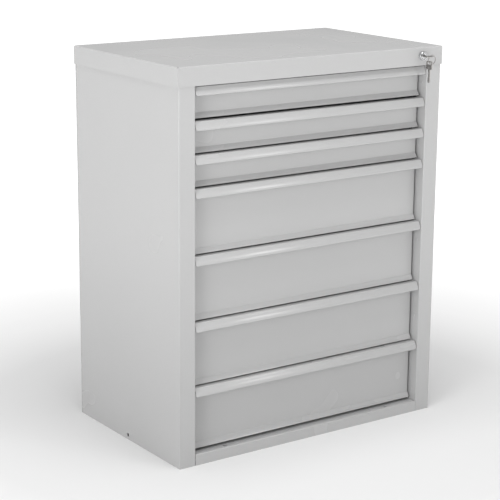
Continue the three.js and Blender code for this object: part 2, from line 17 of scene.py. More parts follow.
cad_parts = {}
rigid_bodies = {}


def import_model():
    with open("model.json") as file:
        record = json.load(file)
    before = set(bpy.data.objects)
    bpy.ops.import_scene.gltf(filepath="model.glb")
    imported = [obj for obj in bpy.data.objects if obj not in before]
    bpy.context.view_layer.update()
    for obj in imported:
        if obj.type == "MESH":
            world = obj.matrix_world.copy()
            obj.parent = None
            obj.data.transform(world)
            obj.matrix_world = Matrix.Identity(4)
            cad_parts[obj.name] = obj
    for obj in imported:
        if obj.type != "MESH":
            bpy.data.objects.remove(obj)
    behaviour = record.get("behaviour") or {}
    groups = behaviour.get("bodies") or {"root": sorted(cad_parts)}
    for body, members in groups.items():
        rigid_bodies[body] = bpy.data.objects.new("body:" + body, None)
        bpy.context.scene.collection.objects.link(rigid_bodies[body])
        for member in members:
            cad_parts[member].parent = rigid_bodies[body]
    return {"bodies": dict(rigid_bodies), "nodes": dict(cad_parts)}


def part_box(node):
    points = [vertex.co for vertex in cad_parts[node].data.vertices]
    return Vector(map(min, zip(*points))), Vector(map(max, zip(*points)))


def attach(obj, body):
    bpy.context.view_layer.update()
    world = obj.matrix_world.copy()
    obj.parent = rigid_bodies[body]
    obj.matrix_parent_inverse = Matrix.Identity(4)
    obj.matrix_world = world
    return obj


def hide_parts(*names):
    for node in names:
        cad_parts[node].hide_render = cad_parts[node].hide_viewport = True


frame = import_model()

LOG = logging.getLogger("cabinet")
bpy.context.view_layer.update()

MM = 0.001
SHEET = 1.0 * MM
GUARD = 0.6 * MM  # flat strip kept beside a bend so that its shading stays off the panel
ARC_STEP = math.radians(11)
SHARP_ANGLE = math.radians(28)
BEVEL_ANGLE = math.radians(50)
FLAT_WIDTH = 3.0 * MM  # faces wider than this are flat sheet, never part of a bend
SIDES = (-1, 1)

Point2 = tuple[float, float]
Span = tuple[float, float]


# ------------------------------------------------------------------ places


@dataclass(frozen=True)
class Places:
    """Where the frame's main faces lie."""

    front: float
    back: float
    height: float
    lid_half: float
    lid_bottom: float
    half: float
    opening_half: float
    body_front: float
    body_back: float
    body_top: float
    base_top: float

    @classmethod
    def read(cls) -> "Places":
        """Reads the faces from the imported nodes."""
        lid_low, lid_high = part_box("top_lid")
        side_low, side_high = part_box("right_side_panel")
        _, base_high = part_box("base_tray")
        return cls(
            front=lid_low.y,
            back=lid_high.y,
            height=lid_high.z,
            lid_half=lid_high.x,
            lid_bottom=lid_low.z,
            half=side_high.x,
            opening_half=side_low.x,
            body_front=side_low.y,
            body_back=side_high.y,
            body_top=side_high.z,
            base_top=base_high.z,
        )


def drawer_numbers() -> list[int]:
    """Numbers of the drawers in the frame, from the top down."""
    names = (name for name in frame["bodies"] if name.startswith("drawer_"))
    return sorted(int(name.split("_")[1]) for name in names if not name.endswith("_slides"))


class Slot(str, Enum):
    """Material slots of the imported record."""

    PAINT = "powder_coat"
    ZINC = "zinc_plate"
    CHROME = "chrome_plate"
    NICKEL = "nickel_plate"


# ------------------------------------------------------------------ node trees


class Bench:
    """Lays out nodes in a tree and joins their sockets by name."""

    def __init__(self, tree: bpy.types.NodeTree) -> None:
        """Starts on an empty tree."""
        self.tree = tree
        tree.nodes.clear()

    def add(self, kind: str, values: dict | None = None, **settings: object) -> bpy.types.Node:
        """Adds a node.

        Args:
            kind: Blender's type name of the node.
            values: what each input gets, an output socket or a constant, by name or number.
            settings: properties of the node itself.

        Returns:
            The new node.
        """
        node = self.tree.nodes.new(kind)
        for key, setting in settings.items():
            setattr(node, key, setting)
        for key, value in (values or {}).items():
            if isinstance(value, bpy.types.NodeSocket):
                self.tree.links.new(value, node.inputs[key])
            else:
                node.inputs[key].default_value = value
        return node

    def math(self, operation: str, first: object, second: object = 0.5) -> bpy.types.NodeSocket:
        """Adds a Math node and gives its result."""
        return self.add("ShaderNodeMath", {0: first, 1: second}, operation=operation).outputs[0]

    def fade(self, value: object, low: float, high: float, to: Span = (0.0, 1.0)) -> bpy.types.NodeSocket:
        """Adds a clamped Map Range node and gives its result."""
        values = {"Value": value, "From Min": low, "From Max": high, "To Min": to[0], "To Max": to[1]}
        return self.add("ShaderNodeMapRange", values, clamp=True).outputs["Result"]

    def blend(self, factor: object, first: object, second: object) -> bpy.types.NodeSocket:
        """Adds a colour Mix node and gives its result."""
        node = self.add("ShaderNodeMix", data_type="RGBA")
        for name, value in (("Factor", factor), ("A", first), ("B", second)):
            kind = "VALUE" if name == "Factor" else "RGBA"
            socket = next(s for s in node.inputs if s.name == name and s.type == kind)
            if isinstance(value, bpy.types.NodeSocket):
                self.tree.links.new(value, socket)
            else:
                socket.default_value = value
        return next(s for s in node.outputs if s.type == "RGBA")


def new_group(
    name: str, inputs: dict[str, tuple[str, object]], outputs: dict[str, str]
) -> tuple[Bench, dict]:
    """Starts a shader node group.

    Args:
        name: name of the group.
        inputs: socket type and default of each input.
        outputs: socket type of each output.

    Returns:
        The bench on the group's tree, and its input sockets by name.
    """
    tree = bpy.data.node_groups.new(name, "ShaderNodeTree")
    for label, (kind, default) in inputs.items():
        socket = tree.interface.new_socket(label, in_out="INPUT", socket_type=kind)
        if default is not None:
            socket.default_value = default
    for label, kind in outputs.items():
        tree.interface.new_socket(label, in_out="OUTPUT", socket_type=kind)
    bench = Bench(tree)
    entry = bench.add("NodeGroupInput")
    return bench, {socket.name: socket for socket in entry.outputs if socket.name}


def close_group(bench: Bench, results: dict[str, bpy.types.NodeSocket]) -> bpy.types.NodeTree:
    """Joins the results to the group's outputs and gives its tree."""
    bench.add("NodeGroupOutput", results)
    return bench.tree


def orange_peel_group() -> bpy.types.NodeTree:
    """Fine pebbled skin of sprayed powder over slightly wavy sheet."""
    bench, given = new_group(
        "OrangePeel",
        {
            "Place": ("NodeSocketVector", None),
            "Pebble Scale": ("NodeSocketFloat", 420.0),
            "Wave Scale": ("NodeSocketFloat", 4.0),
            "Wave Share": ("NodeSocketFloat", 6.0),
        },
        {"Height": "NodeSocketFloat", "Speckle": "NodeSocketFloat"},
    )
    pebble = bench.add(
        "ShaderNodeTexNoise",
        {"Vector": given["Place"], "Scale": given["Pebble Scale"], "Detail": 2.0, "Roughness": 0.4},
    )
    wave = bench.add(
        "ShaderNodeTexNoise",
        {"Vector": given["Place"], "Scale": given["Wave Scale"], "Detail": 1.0, "Roughness": 0.3},
    )
    wave_height = bench.math("MULTIPLY", wave.outputs[0], given["Wave Share"])
    height = bench.math("ADD", pebble.outputs[0], wave_height)
    return close_group(bench, {"Height": height, "Speckle": bench.fade(pebble.outputs[0], 0.35, 0.65)})


def edge_wear_group() -> bpy.types.NodeTree:
    """Mask of the rubbed outer edges, broken up by noise."""
    bench, given = new_group(
        "EdgeWear",
        {
            "Place": ("NodeSocketVector", None),
            "Radius": ("NodeSocketFloat", 0.0012),
            "Break Up": ("NodeSocketFloat", 90.0),
        },
        {"Mask": "NodeSocketFloat"},
    )
    bevel = bench.add("ShaderNodeBevel", {"Radius": given["Radius"]}, samples=4)
    geometry = bench.add("ShaderNodeNewGeometry")
    turn = bench.add(
        "ShaderNodeVectorMath",
        {0: bevel.outputs["Normal"], 1: geometry.outputs["Normal"]},
        operation="DOT_PRODUCT",
    )
    bent = bench.fade(turn.outputs["Value"], 0.995, 0.9)
    noise = bench.add(
        "ShaderNodeTexNoise",
        {"Vector": given["Place"], "Scale": given["Break Up"], "Detail": 4.0, "Roughness": 0.6},
    )
    patches = bench.fade(noise.outputs[0], 0.42, 0.66)
    return close_group(bench, {"Mask": bench.math("MULTIPLY", bent, patches)})


def dust_group() -> bpy.types.NodeTree:
    """Mask of the light dust that settles on faces that look up."""
    bench, given = new_group(
        "SurfaceDust",
        {
            "Place": ("NodeSocketVector", None),
            "Patch Scale": ("NodeSocketFloat", 5.0),
            "Amount": ("NodeSocketFloat", 0.35),
        },
        {"Mask": "NodeSocketFloat"},
    )
    geometry = bench.add("ShaderNodeNewGeometry")
    split = bench.add("ShaderNodeSeparateXYZ", {0: geometry.outputs["Normal"]})
    up = bench.fade(split.outputs["Z"], 0.2, 1.0)
    noise = bench.add(
        "ShaderNodeTexNoise",
        {"Vector": given["Place"], "Scale": given["Patch Scale"], "Detail": 1.0, "Roughness": 0.4},
    )
    patches = bench.fade(noise.outputs[0], 0.3, 0.75)
    mask = bench.math("MULTIPLY", bench.math("MULTIPLY", up, patches), given["Amount"])
    return close_group(bench, {"Mask": mask})


def crease_shade_group() -> bpy.types.NodeTree:
    """Mask of painted shade: darkens narrow gaps and inner corners, where little ambient light reaches."""
    bench, given = new_group(
        "CreaseShade",
        {"Reach": ("NodeSocketFloat", 0.014), "Open": ("NodeSocketFloat", 0.34)},
        {"Mask": "NodeSocketFloat"},
    )
    # Painted shade: the ambient occlusion becomes a mask that darkens gaps and creases.
    nearby = bench.add("ShaderNodeAmbientOcclusion", {"Distance": given["Reach"]}, samples=6)
    share = bench.math("DIVIDE", nearby.outputs["AO"], given["Open"])
    return close_group(bench, {"Mask": bench.fade(share, 0.1, 1.0, (1.0, 0.0))})


def spangle_group() -> bpy.types.NodeTree:
    """Crystal flakes of a zinc coat: a tone for each flake and a fine rolled grain."""
    bench, given = new_group(
        "ZincSpangle",
        {"Place": ("NodeSocketVector", None), "Flake Scale": ("NodeSocketFloat", 160.0)},
        {"Tone": "NodeSocketFloat", "Grain": "NodeSocketFloat"},
    )
    flake = bench.add(
        "ShaderNodeTexVoronoi",
        {"Vector": given["Place"], "Scale": given["Flake Scale"], "Randomness": 1.0},
        feature="F1",
    )
    tone = bench.add("ShaderNodeSeparateColor", {0: flake.outputs["Color"]}).outputs[0]
    grain = bench.add(
        "ShaderNodeTexNoise",
        {"Vector": given["Place"], "Scale": 900.0, "Detail": 3.0, "Roughness": 0.7},
    )
    return close_group(bench, {"Tone": tone, "Grain": grain.outputs[0]})


def brushed_group() -> bpy.types.NodeTree:
    """Fine polishing lines, drawn out along one direction."""
    bench, given = new_group(
        "PolishLines",
        {"Place": ("NodeSocketVector", None), "Stretch": ("NodeSocketVector", (1.0, 0.05, 1.0))},
        {"Lines": "NodeSocketFloat"},
    )
    drawn = bench.add(
        "ShaderNodeVectorMath", {0: given["Place"], 1: given["Stretch"]}, operation="MULTIPLY"
    )
    noise = bench.add(
        "ShaderNodeTexNoise",
        {"Vector": drawn.outputs[0], "Scale": 2400.0, "Detail": 3.0, "Roughness": 0.7},
    )
    return close_group(bench, {"Lines": noise.outputs[0]})


@dataclass
class Effects:
    """Shader groups that the finishes share."""

    orange_peel: bpy.types.NodeTree = field(default_factory=orange_peel_group)
    edge_wear: bpy.types.NodeTree = field(default_factory=edge_wear_group)
    dust: bpy.types.NodeTree = field(default_factory=dust_group)
    # Painted shade in narrow gaps and inner corners.
    crease_shade: bpy.types.NodeTree = field(default_factory=crease_shade_group)
    spangle: bpy.types.NodeTree = field(default_factory=spangle_group)
    polish_lines: bpy.types.NodeTree = field(default_factory=brushed_group)


# ------------------------------------------------------------------ finishes


def grey(value: float, warmth: float = 0.0) -> tuple[float, float, float, float]:
    """A linear grey, tinted slightly warm or, below zero, cool."""
    return (value * (1 + warmth), value, value * (1 - warmth), 1.0)


class Finish:
    """Base of the finishes: a material with a Principled shader on a bench."""

    name: str

    def start(self) -> tuple[bpy.types.Material, Bench, bpy.types.NodeSocket]:
        """Makes the material and gives it with its bench and the Object coordinates."""
        material = bpy.data.materials.new(self.name)
        material.use_nodes = True
        bench = Bench(material.node_tree)
        place = bench.add("ShaderNodeTexCoord").outputs["Object"]
        return material, bench, place

    @staticmethod
    def end(bench: Bench, values: dict, height: bpy.types.NodeSocket, distance: float) -> None:
        """Adds the bump, the shader and the output.

        Args:
            bench: bench of the material.
            values: inputs of the shader.
            height: height that the bump reads.
            distance: metres for one unit of height.
        """
        bump = bench.add("ShaderNodeBump", {"Height": height, "Distance": distance, "Strength": 1.0})
        shader = bench.add("ShaderNodeBsdfPrincipled", {**values, "Normal": bump.outputs[0]})
        bench.add("ShaderNodeOutputMaterial", {"Surface": shader.outputs[0]})


@dataclass(frozen=True)
class PowderCoat(Finish):
    """Semi-gloss sprayed powder on sheet steel."""

    name: str = "light_grey_powder_coat"
    tone: float = 0.49
    dust_tone: float = 0.53
    worn_tone: float = 0.60
    # Near-black grey painted into gaps and inner corners as shade.
    painted_shade_tone: float = 0.12
    roughness: float = 0.25
    peel_depth: float = 0.000006

    def build(self, effects: Effects) -> bpy.types.Material:
        """Builds the material.

        Args:
            effects: the shared shader groups.

        Returns:
            The finished material.
        """
        material, bench, place = self.start()
        peel = bench.add("ShaderNodeGroup", {}, node_tree=effects.orange_peel)
        wear = bench.add("ShaderNodeGroup", {}, node_tree=effects.edge_wear)
        dust = bench.add("ShaderNodeGroup", {}, node_tree=effects.dust)
        for node in (peel, wear, dust):
            bench.tree.links.new(place, node.inputs["Place"])
        cloud = bench.add(
            "ShaderNodeTexNoise", {"Vector": place, "Scale": 2.5, "Detail": 3.0, "Roughness": 0.5}
        )
        clouds = bench.fade(cloud.outputs[0], 0.3, 0.7)
        base = bench.blend(clouds, grey(self.tone * 0.985), grey(self.tone * 1.015))
        speck = bench.math("MULTIPLY", peel.outputs["Speckle"], 0.10)
        base = bench.blend(speck, base, grey(self.tone * 0.82))
        base = bench.blend(dust.outputs["Mask"], base, grey(self.dust_tone, 0.01))
        rubbed = bench.math("MULTIPLY", wear.outputs["Mask"], 0.35)
        base = bench.blend(rubbed, base, grey(self.worn_tone, -0.005))
        # Painted shade: gaps and inner corners are darkened towards a near-black grey where little ambient
        # light reaches.
        crease_shade = bench.add("ShaderNodeGroup", {}, node_tree=effects.crease_shade)
        base = bench.blend(crease_shade.outputs["Mask"], base, grey(self.painted_shade_tone))
        rough = bench.fade(clouds, 0.0, 1.0, (self.roughness - 0.03, self.roughness + 0.03))
        rough = bench.math("ADD", rough, bench.math("MULTIPLY", dust.outputs["Mask"], 0.08))
        values = {"Base Color": base, "Roughness": rough, "IOR": 1.5, "Specular IOR Level": 0.5}
        self.end(bench, values, peel.outputs["Height"], self.peel_depth)
        return material


@dataclass(frozen=True)
class ZincPlate(Finish):
    """Bright zinc on slides, uprights and small hardware."""

    name: str = "zinc_plate"
    tone: float = 0.52
    roughness: float = 0.3
    flake_scale: float = 160.0
    grain_depth: float = 0.0000015

    def build(self, effects: Effects) -> bpy.types.Material:
        """Builds the material.

        Args:
            effects: the shared shader groups.

        Returns:
            The finished material.
        """
        material, bench, place = self.start()
        spangle = bench.add(
            "ShaderNodeGroup", {"Flake Scale": self.flake_scale}, node_tree=effects.spangle
        )
        bench.tree.links.new(place, spangle.inputs["Place"])
        wear = bench.add("ShaderNodeGroup", {}, node_tree=effects.edge_wear)
        bench.tree.links.new(place, wear.inputs["Place"])
        base = bench.blend(
            spangle.outputs["Tone"], grey(self.tone * 0.93, -0.02), grey(self.tone * 1.06, -0.035)
        )
        base = bench.blend(bench.math("MULTIPLY", wear.outputs["Mask"], 0.5), base, grey(0.7))
        rough = bench.fade(
            spangle.outputs["Tone"], 0.0, 1.0, (self.roughness - 0.06, self.roughness + 0.08)
        )
        values = {"Base Color": base, "Metallic": 1.0, "Roughness": rough}
        self.end(bench, values, spangle.outputs["Grain"], self.grain_depth)
        return material


@dataclass(frozen=True)
class PolishedPlate(Finish):
    """Chrome or nickel plate with fine polishing lines."""

    name: str
    tone: float
    warmth: float
    roughness: float
    stretch: tuple[float, float, float]

    def build(self, effects: Effects) -> bpy.types.Material:
        """Builds the material.

        Args:
            effects: the shared shader groups.

        Returns:
            The finished material.
        """
        material, bench, place = self.start()
        lines = bench.add("ShaderNodeGroup", {"Stretch": self.stretch}, node_tree=effects.polish_lines)
        wear = bench.add("ShaderNodeGroup", {"Radius": 0.0006}, node_tree=effects.edge_wear)
        for node in (lines, wear):
            bench.tree.links.new(place, node.inputs["Place"])
        base = bench.blend(
            lines.outputs["Lines"],
            grey(self.tone * 0.92, self.warmth),
            grey(self.tone * 1.06, self.warmth),
        )
        base = bench.blend(wear.outputs["Mask"], base, grey(self.tone * 1.1, self.warmth / 2))
        rough = bench.fade(
            lines.outputs["Lines"], 0.3, 0.7, (self.roughness * 0.8, self.roughness * 1.3)
        )
        values = {"Base Color": base, "Metallic": 1.0, "Roughness": rough}
        self.end(bench, values, lines.outputs["Lines"], 0.000004)
        return material


@dataclass(frozen=True)
class StudioFloor(Finish):
    """Matt pale floor that stays white away from the shadow."""

    name: str = "studio_floor"
    tone: float = 0.74
    near_glow: float = 0.08
    far_glow: float = 0.85
    fade: Span = (0.7, 2.2)

    def build(self) -> bpy.types.Material:
        """Builds the material.

        Returns:
            The finished material.
        """
        material, bench, place = self.start()
        noise = bench.add("ShaderNodeTexNoise", {"Vector": place, "Scale": 1.5, "Detail": 2.0})
        base = bench.blend(noise.outputs[0], grey(self.tone * 0.995), grey(self.tone * 1.005))
        reach = bench.add("ShaderNodeVectorMath", {0: place}, operation="LENGTH").outputs["Value"]
        glow = bench.fade(reach, *self.fade)
        values = {
            "Base Color": base,
            "Roughness": 0.9,
            "Specular IOR Level": 0.0,
            "Emission Color": bench.blend(glow, grey(self.near_glow), grey(self.far_glow)),
            "Emission Strength": 1.0,
        }
        self.end(bench, values, noise.outputs[0], 0.00001)
        return material


@dataclass
class Finishes:
    """The object's finishes, one for each slot of the record."""

    effects: Effects = field(default_factory=Effects)
    by_slot: dict[Slot, bpy.types.Material] = field(default_factory=dict)

    def __post_init__(self) -> None:
        """Builds every finish."""
        recipes = {
            Slot.PAINT: PowderCoat(),
            Slot.ZINC: ZincPlate(),
            Slot.CHROME: PolishedPlate("chrome_plate", 0.66, -0.01, 0.09, (1.0, 0.05, 1.0)),
            Slot.NICKEL: PolishedPlate("nickel_plate", 0.42, 0.03, 0.26, (1.0, 0.08, 0.4)),
        }
        for slot, recipe in recipes.items():
            self.by_slot[slot] = recipe.build(self.effects)


# ------------------------------------------------------------------ meshes


class Plane(Enum):
    """Which axes a drawing's two directions and its depth lie along."""

    XY = (0, 1, 2)
    YZ = (1, 2, 0)
    XZ = (0, 2, 1)

    def place(self, u: float, v: float, w: float) -> Vector:
        """Turns drawing coordinates into a point."""
        point = Vector((0.0, 0.0, 0.0))
        for axis, value in zip(self.value, (u, v, w)):
            point[axis] = value
        return point


@dataclass(frozen=True)
class Bend:
    """A corner of a sheet's centre line and the radius that it is bent to."""

    u: float
    v: float
    radius: float = 0.0


@dataclass
class BentSheet:
    """Centre line of a bent sheet, rounded at its bends."""

    corners: Sequence[Bend]
    thickness: float = SHEET
    levels: Sequence[float] = ()
    stations: list[tuple[Vector, Vector]] = field(default_factory=list)

    def __post_init__(self) -> None:
        """Works out the stations: points with the sheet's direction at each."""
        points = [Vector((c.u, c.v)) for c in self.corners]
        line: list[tuple[Vector, Vector]] = []
        for index, corner in enumerate(self.corners):
            here = points[index]
            if index == 0:
                line.append((here, (points[1] - here).normalized()))
            elif index == len(points) - 1:
                line.append((here, (here - points[index - 1]).normalized()))
            else:
                line.extend(self._bend(points[index - 1], here, points[index + 1], corner.radius))
        self.stations = self._with_levels(line)

    @staticmethod
    def _bend(before: Vector, here: Vector, after: Vector, radius: float) -> list[tuple[Vector, Vector]]:
        """Stations round one corner, with a flat guard at each side."""
        into, out = (here - before).normalized(), (after - here).normalized()
        turn = math.atan2(into.x * out.y - into.y * out.x, into.dot(out))
        if radius <= 0 or abs(turn) < 1e-4:
            return [(here, (into + out).normalized() / math.cos(turn / 2))]
        reach = radius * math.tan(abs(turn) / 2)
        start, end = here - into * reach, here + out * reach
        inward = Vector((-into.y, into.x)) * math.copysign(1, turn)
        centre = start + inward * radius
        steps = max(2, math.ceil(abs(turn) / ARC_STEP))
        line = []
        if (here - before).length > reach + 2 * GUARD:
            line.append((start - into * GUARD, into))
        for step in range(steps + 1):
            spin = Matrix.Rotation(turn * step / steps, 2)
            line.append((centre + spin @ (start - centre), spin @ into))
        if (after - here).length > reach + 2 * GUARD:
            line.append((end + out * GUARD, out))
        return line

    def _with_levels(self, line: list[tuple[Vector, Vector]]) -> list[tuple[Vector, Vector]]:
        """Adds a station wherever a straight stretch crosses one of the levels."""
        full = [line[0]]
        for (here, _), (after, onward) in zip(line, line[1:]):
            rise = after.y - here.y
            straight = (after - here).normalized()
            crossed = [
                (level - here.y) / rise
                for level in self.levels
                if abs(rise) > 1e-6 and 0.02 < (level - here.y) / rise < 0.98
            ]
            full.extend((here.lerp(after, share), straight) for share in sorted(crossed))
            full.append((after, onward))
        return full

    def faces_at(self) -> list[tuple[Vector, Vector]]:
        """The sheet's two faces at each station."""
        pairs = []
        for point, along in self.stations:
            normal = Vector((-along.y, along.x)) * (self.thickness / 2)
            pairs.append((point + normal, point - normal))
        return pairs

    def widen(self, plane: Plane, span: Callable[[float, float], Span]) -> bmesh.types.BMesh:
        """Widens the line into a sheet.

        Args:
            plane: the plane that the centre line is drawn in.
            span: gives the sheet's two ends across the plane for a point on the centre line.

        Returns:
            A closed mesh.
        """
        mesh = bmesh.new()
        rings = []
        for (point, _), (left, right) in zip(self.stations, self.faces_at()):
            low, high = span(point.x, point.y)
            corners = ((left, low), (left, high), (right, high), (right, low))
            rings.append([mesh.verts.new(plane.place(p.x, p.y, w)) for p, w in corners])
        for ring, following in zip(rings, rings[1:]):
            for i in range(4):
                j = (i + 1) % 4
                mesh.faces.new((ring[i], ring[j], following[j], following[i]))
        mesh.faces.new(rings[0])
        mesh.faces.new(rings[-1])
        bmesh.ops.recalc_face_normals(mesh, faces=mesh.faces)
        return mesh

    def fold_round(self, x: Span, y: Span) -> bmesh.types.BMesh:
        """Folds the sheet along all four sides of a rectangle, with mitred corners.

        The first direction of the centre line counts inwards from the rectangle, and the second is
        height. The first station is closed across the middle.

        Args:
            x: the rectangle's two X values.
            y: the rectangle's two Y values.

        Returns:
            A closed mesh.
        """
        mesh = bmesh.new()

        def ring(point: Vector) -> list[bmesh.types.BMVert]:
            """Four corners at one inset and height."""
            x0, x1, y0, y1 = x[0] + point.x, x[1] - point.x, y[0] + point.x, y[1] - point.x
            places = ((x0, y0), (x1, y0), (x1, y1), (x0, y1))
            return [mesh.verts.new((px, py, point.y)) for px, py in places]

        rings = [(ring(left), ring(right)) for left, right in self.faces_at()]
        for pair, following in zip(rings, rings[1:]):
            for here, after in zip(pair, following):
                bridge(mesh, here, after)
        bridge(mesh, *rings[-1])
        for middle in rings[0]:
            mesh.faces.new(middle)
        bmesh.ops.recalc_face_normals(mesh, faces=mesh.faces)
        return mesh


def bridge(
    mesh: bmesh.types.BMesh, first: Sequence[bmesh.types.BMVert], second: Sequence[bmesh.types.BMVert]
) -> None:
    """Joins two closed loops of the same length with quads."""
    count = len(first)
    for i in range(count):
        j = (i + 1) % count
        mesh.faces.new((first[i], first[j], second[j], second[i]))


def box_mesh(x: Span, y: Span, z: Span) -> bmesh.types.BMesh:
    """A block between two X, two Y and two Z values."""
    mesh = bmesh.new()
    bmesh.ops.create_cube(mesh, size=1.0)
    for vert in mesh.verts:
        for axis, (low, high) in enumerate((x, y, z)):
            vert.co[axis] = low if vert.co[axis] < 0 else high
    return mesh


def turned(profile: Sequence[Point2], centre: Vector, segments: int = 40) -> bmesh.types.BMesh:
    """Turns a closed outline of radius and depth about an axis along Y.

    Args:
        profile: radius and depth of each corner, in order round the outline.
        centre: point on the axis at depth zero.
        segments: steps round the axis.

    Returns:
        A closed mesh.
    """
    mesh = bmesh.new()
    loops = []
    for radius, depth in profile:
        if radius < 1e-7:
            loops.append([mesh.verts.new(centre + Vector((0, depth, 0)))])
            continue
        loop = []
        for step in range(segments):
            angle = 2 * math.pi * step / segments
            offset = Vector((radius * math.cos(angle), depth, radius * math.sin(angle)))
            loop.append(mesh.verts.new(centre + offset))
        loops.append(loop)
    hollow = all(len(loop) > 1 for loop in loops)
    pairs = list(zip(loops, loops[1:]))
    if hollow:
        pairs.append((loops[-1], loops[0]))
    for here, after in pairs:
        if len(here) == 1 or len(after) == 1:
            tip, loop = (here[0], after) if len(here) == 1 else (after[0], here)
            for i in range(len(loop)):
                mesh.faces.new((tip, loop[i], loop[(i + 1) % len(loop)]))
        else:
            bridge(mesh, here, after)
    bmesh.ops.recalc_face_normals(mesh, faces=mesh.faces)
    return mesh


def rod(radius: float, ends: Span, centre: Vector, axis: int, segments: int = 32) -> bmesh.types.BMesh:
    """A round bar through a point along one axis, used as a cutter or a pin."""
    mesh = bmesh.new()
    bmesh.ops.create_cone(
        mesh, cap_ends=True, segments=segments, radius1=radius, radius2=radius, depth=ends[1] - ends[0]
    )
    turn = {
        0: Matrix.Rotation(math.pi / 2, 4, "Y"),
        1: Matrix.Rotation(math.pi / 2, 4, "X"),
        2: Matrix.Identity(4),
    }[axis]
    middle = centre.copy()
    middle[axis] = (ends[0] + ends[1]) / 2
    bmesh.ops.transform(mesh, matrix=Matrix.Translation(middle) @ turn, verts=mesh.verts)
    return mesh


def rounded_outline(width: float, height: float, radius: float, steps: int = 6) -> list[Point2]:
    """Corners of a rounded rectangle centred on the origin."""
    points = []
    for quarter in range(4):
        cx = (1 if quarter in (0, 3) else -1) * (width / 2 - radius)
        cy = (1 if quarter in (0, 1) else -1) * (height / 2 - radius)
        for step in range(steps + 1):
            angle = math.pi / 2 * (quarter + step / steps)
            points.append((cx + radius * math.cos(angle), cy + radius * math.sin(angle)))
    return points


def plate(
    outline: Sequence[Point2], holes: Sequence[Sequence[Point2]], plane: Plane, depth: Span
) -> bmesh.types.BMesh:
    """A flat plate with holes.

    Args:
        outline: corners of the plate.
        holes: corners of each hole.
        plane: plane that the corners are drawn in.
        depth: the plate's two faces across that plane.

    Returns:
        A closed mesh.
    """
    mesh = bmesh.new()
    edges = []
    for loop in (outline, *holes):
        verts = [mesh.verts.new(plane.place(u, v, depth[0])) for u, v in loop]
        edges.extend(mesh.edges.new((a, b)) for a, b in zip(verts, verts[1:] + verts[:1]))
    bmesh.ops.triangle_fill(mesh, use_beauty=True, use_dissolve=False, edges=edges)
    bmesh.ops.dissolve_limit(mesh, angle_limit=0.01, verts=mesh.verts, edges=mesh.edges)
    grown = bmesh.ops.extrude_face_region(mesh, geom=list(mesh.faces))
    raised = [item for item in grown["geom"] if isinstance(item, bmesh.types.BMVert)]
    across = plane.place(0, 0, depth[1] - depth[0])
    bmesh.ops.translate(mesh, vec=across, verts=raised)
    bmesh.ops.recalc_face_normals(mesh, faces=mesh.faces)
    return mesh


def merged(*meshes: bmesh.types.BMesh) -> bmesh.types.BMesh:
    """Puts separate closed shells into one mesh."""
    whole = bmesh.new()
    for mesh in meshes:
        data = bpy.data.meshes.new("part")
        mesh.to_mesh(data)
        whole.from_mesh(data)
        bpy.data.meshes.remove(data)
        mesh.free()
    return whole


def copy_of(node: str) -> bmesh.types.BMesh:
    """A frame node's mesh with its loose triangles merged and its flat faces rejoined."""
    mesh = bmesh.new()
    mesh.from_mesh(frame["nodes"][node].data)
    bmesh.ops.remove_doubles(mesh, verts=mesh.verts, dist=1e-6)
    bmesh.ops.dissolve_limit(
        mesh, angle_limit=math.radians(0.5), verts=mesh.verts, edges=mesh.edges
    )
    return mesh


def evaluated_mesh(obj: bpy.types.Object) -> bpy.types.Mesh:
    """A plain mesh of an object with its modifiers applied."""
    graph = bpy.context.evaluated_depsgraph_get()
    graph.update()
    return bpy.data.meshes.new_from_object(obj.evaluated_get(graph), depsgraph=graph)


def combine(mesh: bmesh.types.BMesh, tools: Iterable[bmesh.types.BMesh], operation: str) -> bmesh.types.BMesh:
    """Cuts tools from a mesh, or joins them to it.

    Args:
        mesh: the mesh to work on.
        tools: closed meshes.
        operation: DIFFERENCE or UNION.

    Returns:
        A new mesh.
    """
    objects = []
    for shape in (mesh, *tools):
        data = bpy.data.meshes.new("work")
        shape.to_mesh(data)
        shape.free()
        obj = bpy.data.objects.new("work", data)
        bpy.context.scene.collection.objects.link(obj)
        objects.append(obj)
    body, *cutters = objects
    for cutter in cutters:
        modifier = body.modifiers.new("work", "BOOLEAN")
        modifier.operation = operation
        modifier.solver = "EXACT"
        modifier.object = cutter
    data = evaluated_mesh(body)
    result = bmesh.new()
    result.from_mesh(data)
    bmesh.ops.remove_doubles(result, verts=result.verts, dist=1e-7)
    for obj in objects:
        old = obj.data
        bpy.data.objects.remove(obj)
        bpy.data.meshes.remove(old)
    bpy.data.meshes.remove(data)
    return result


def carve(mesh: bmesh.types.BMesh, *tools: bmesh.types.BMesh) -> bmesh.types.BMesh:
    """Cuts tools from a mesh."""
    return combine(mesh, tools, "DIFFERENCE")


def weld(mesh: bmesh.types.BMesh, *tools: bmesh.types.BMesh) -> bmesh.types.BMesh:
    """Joins overlapping shells into one."""
    return combine(mesh, tools, "UNION")


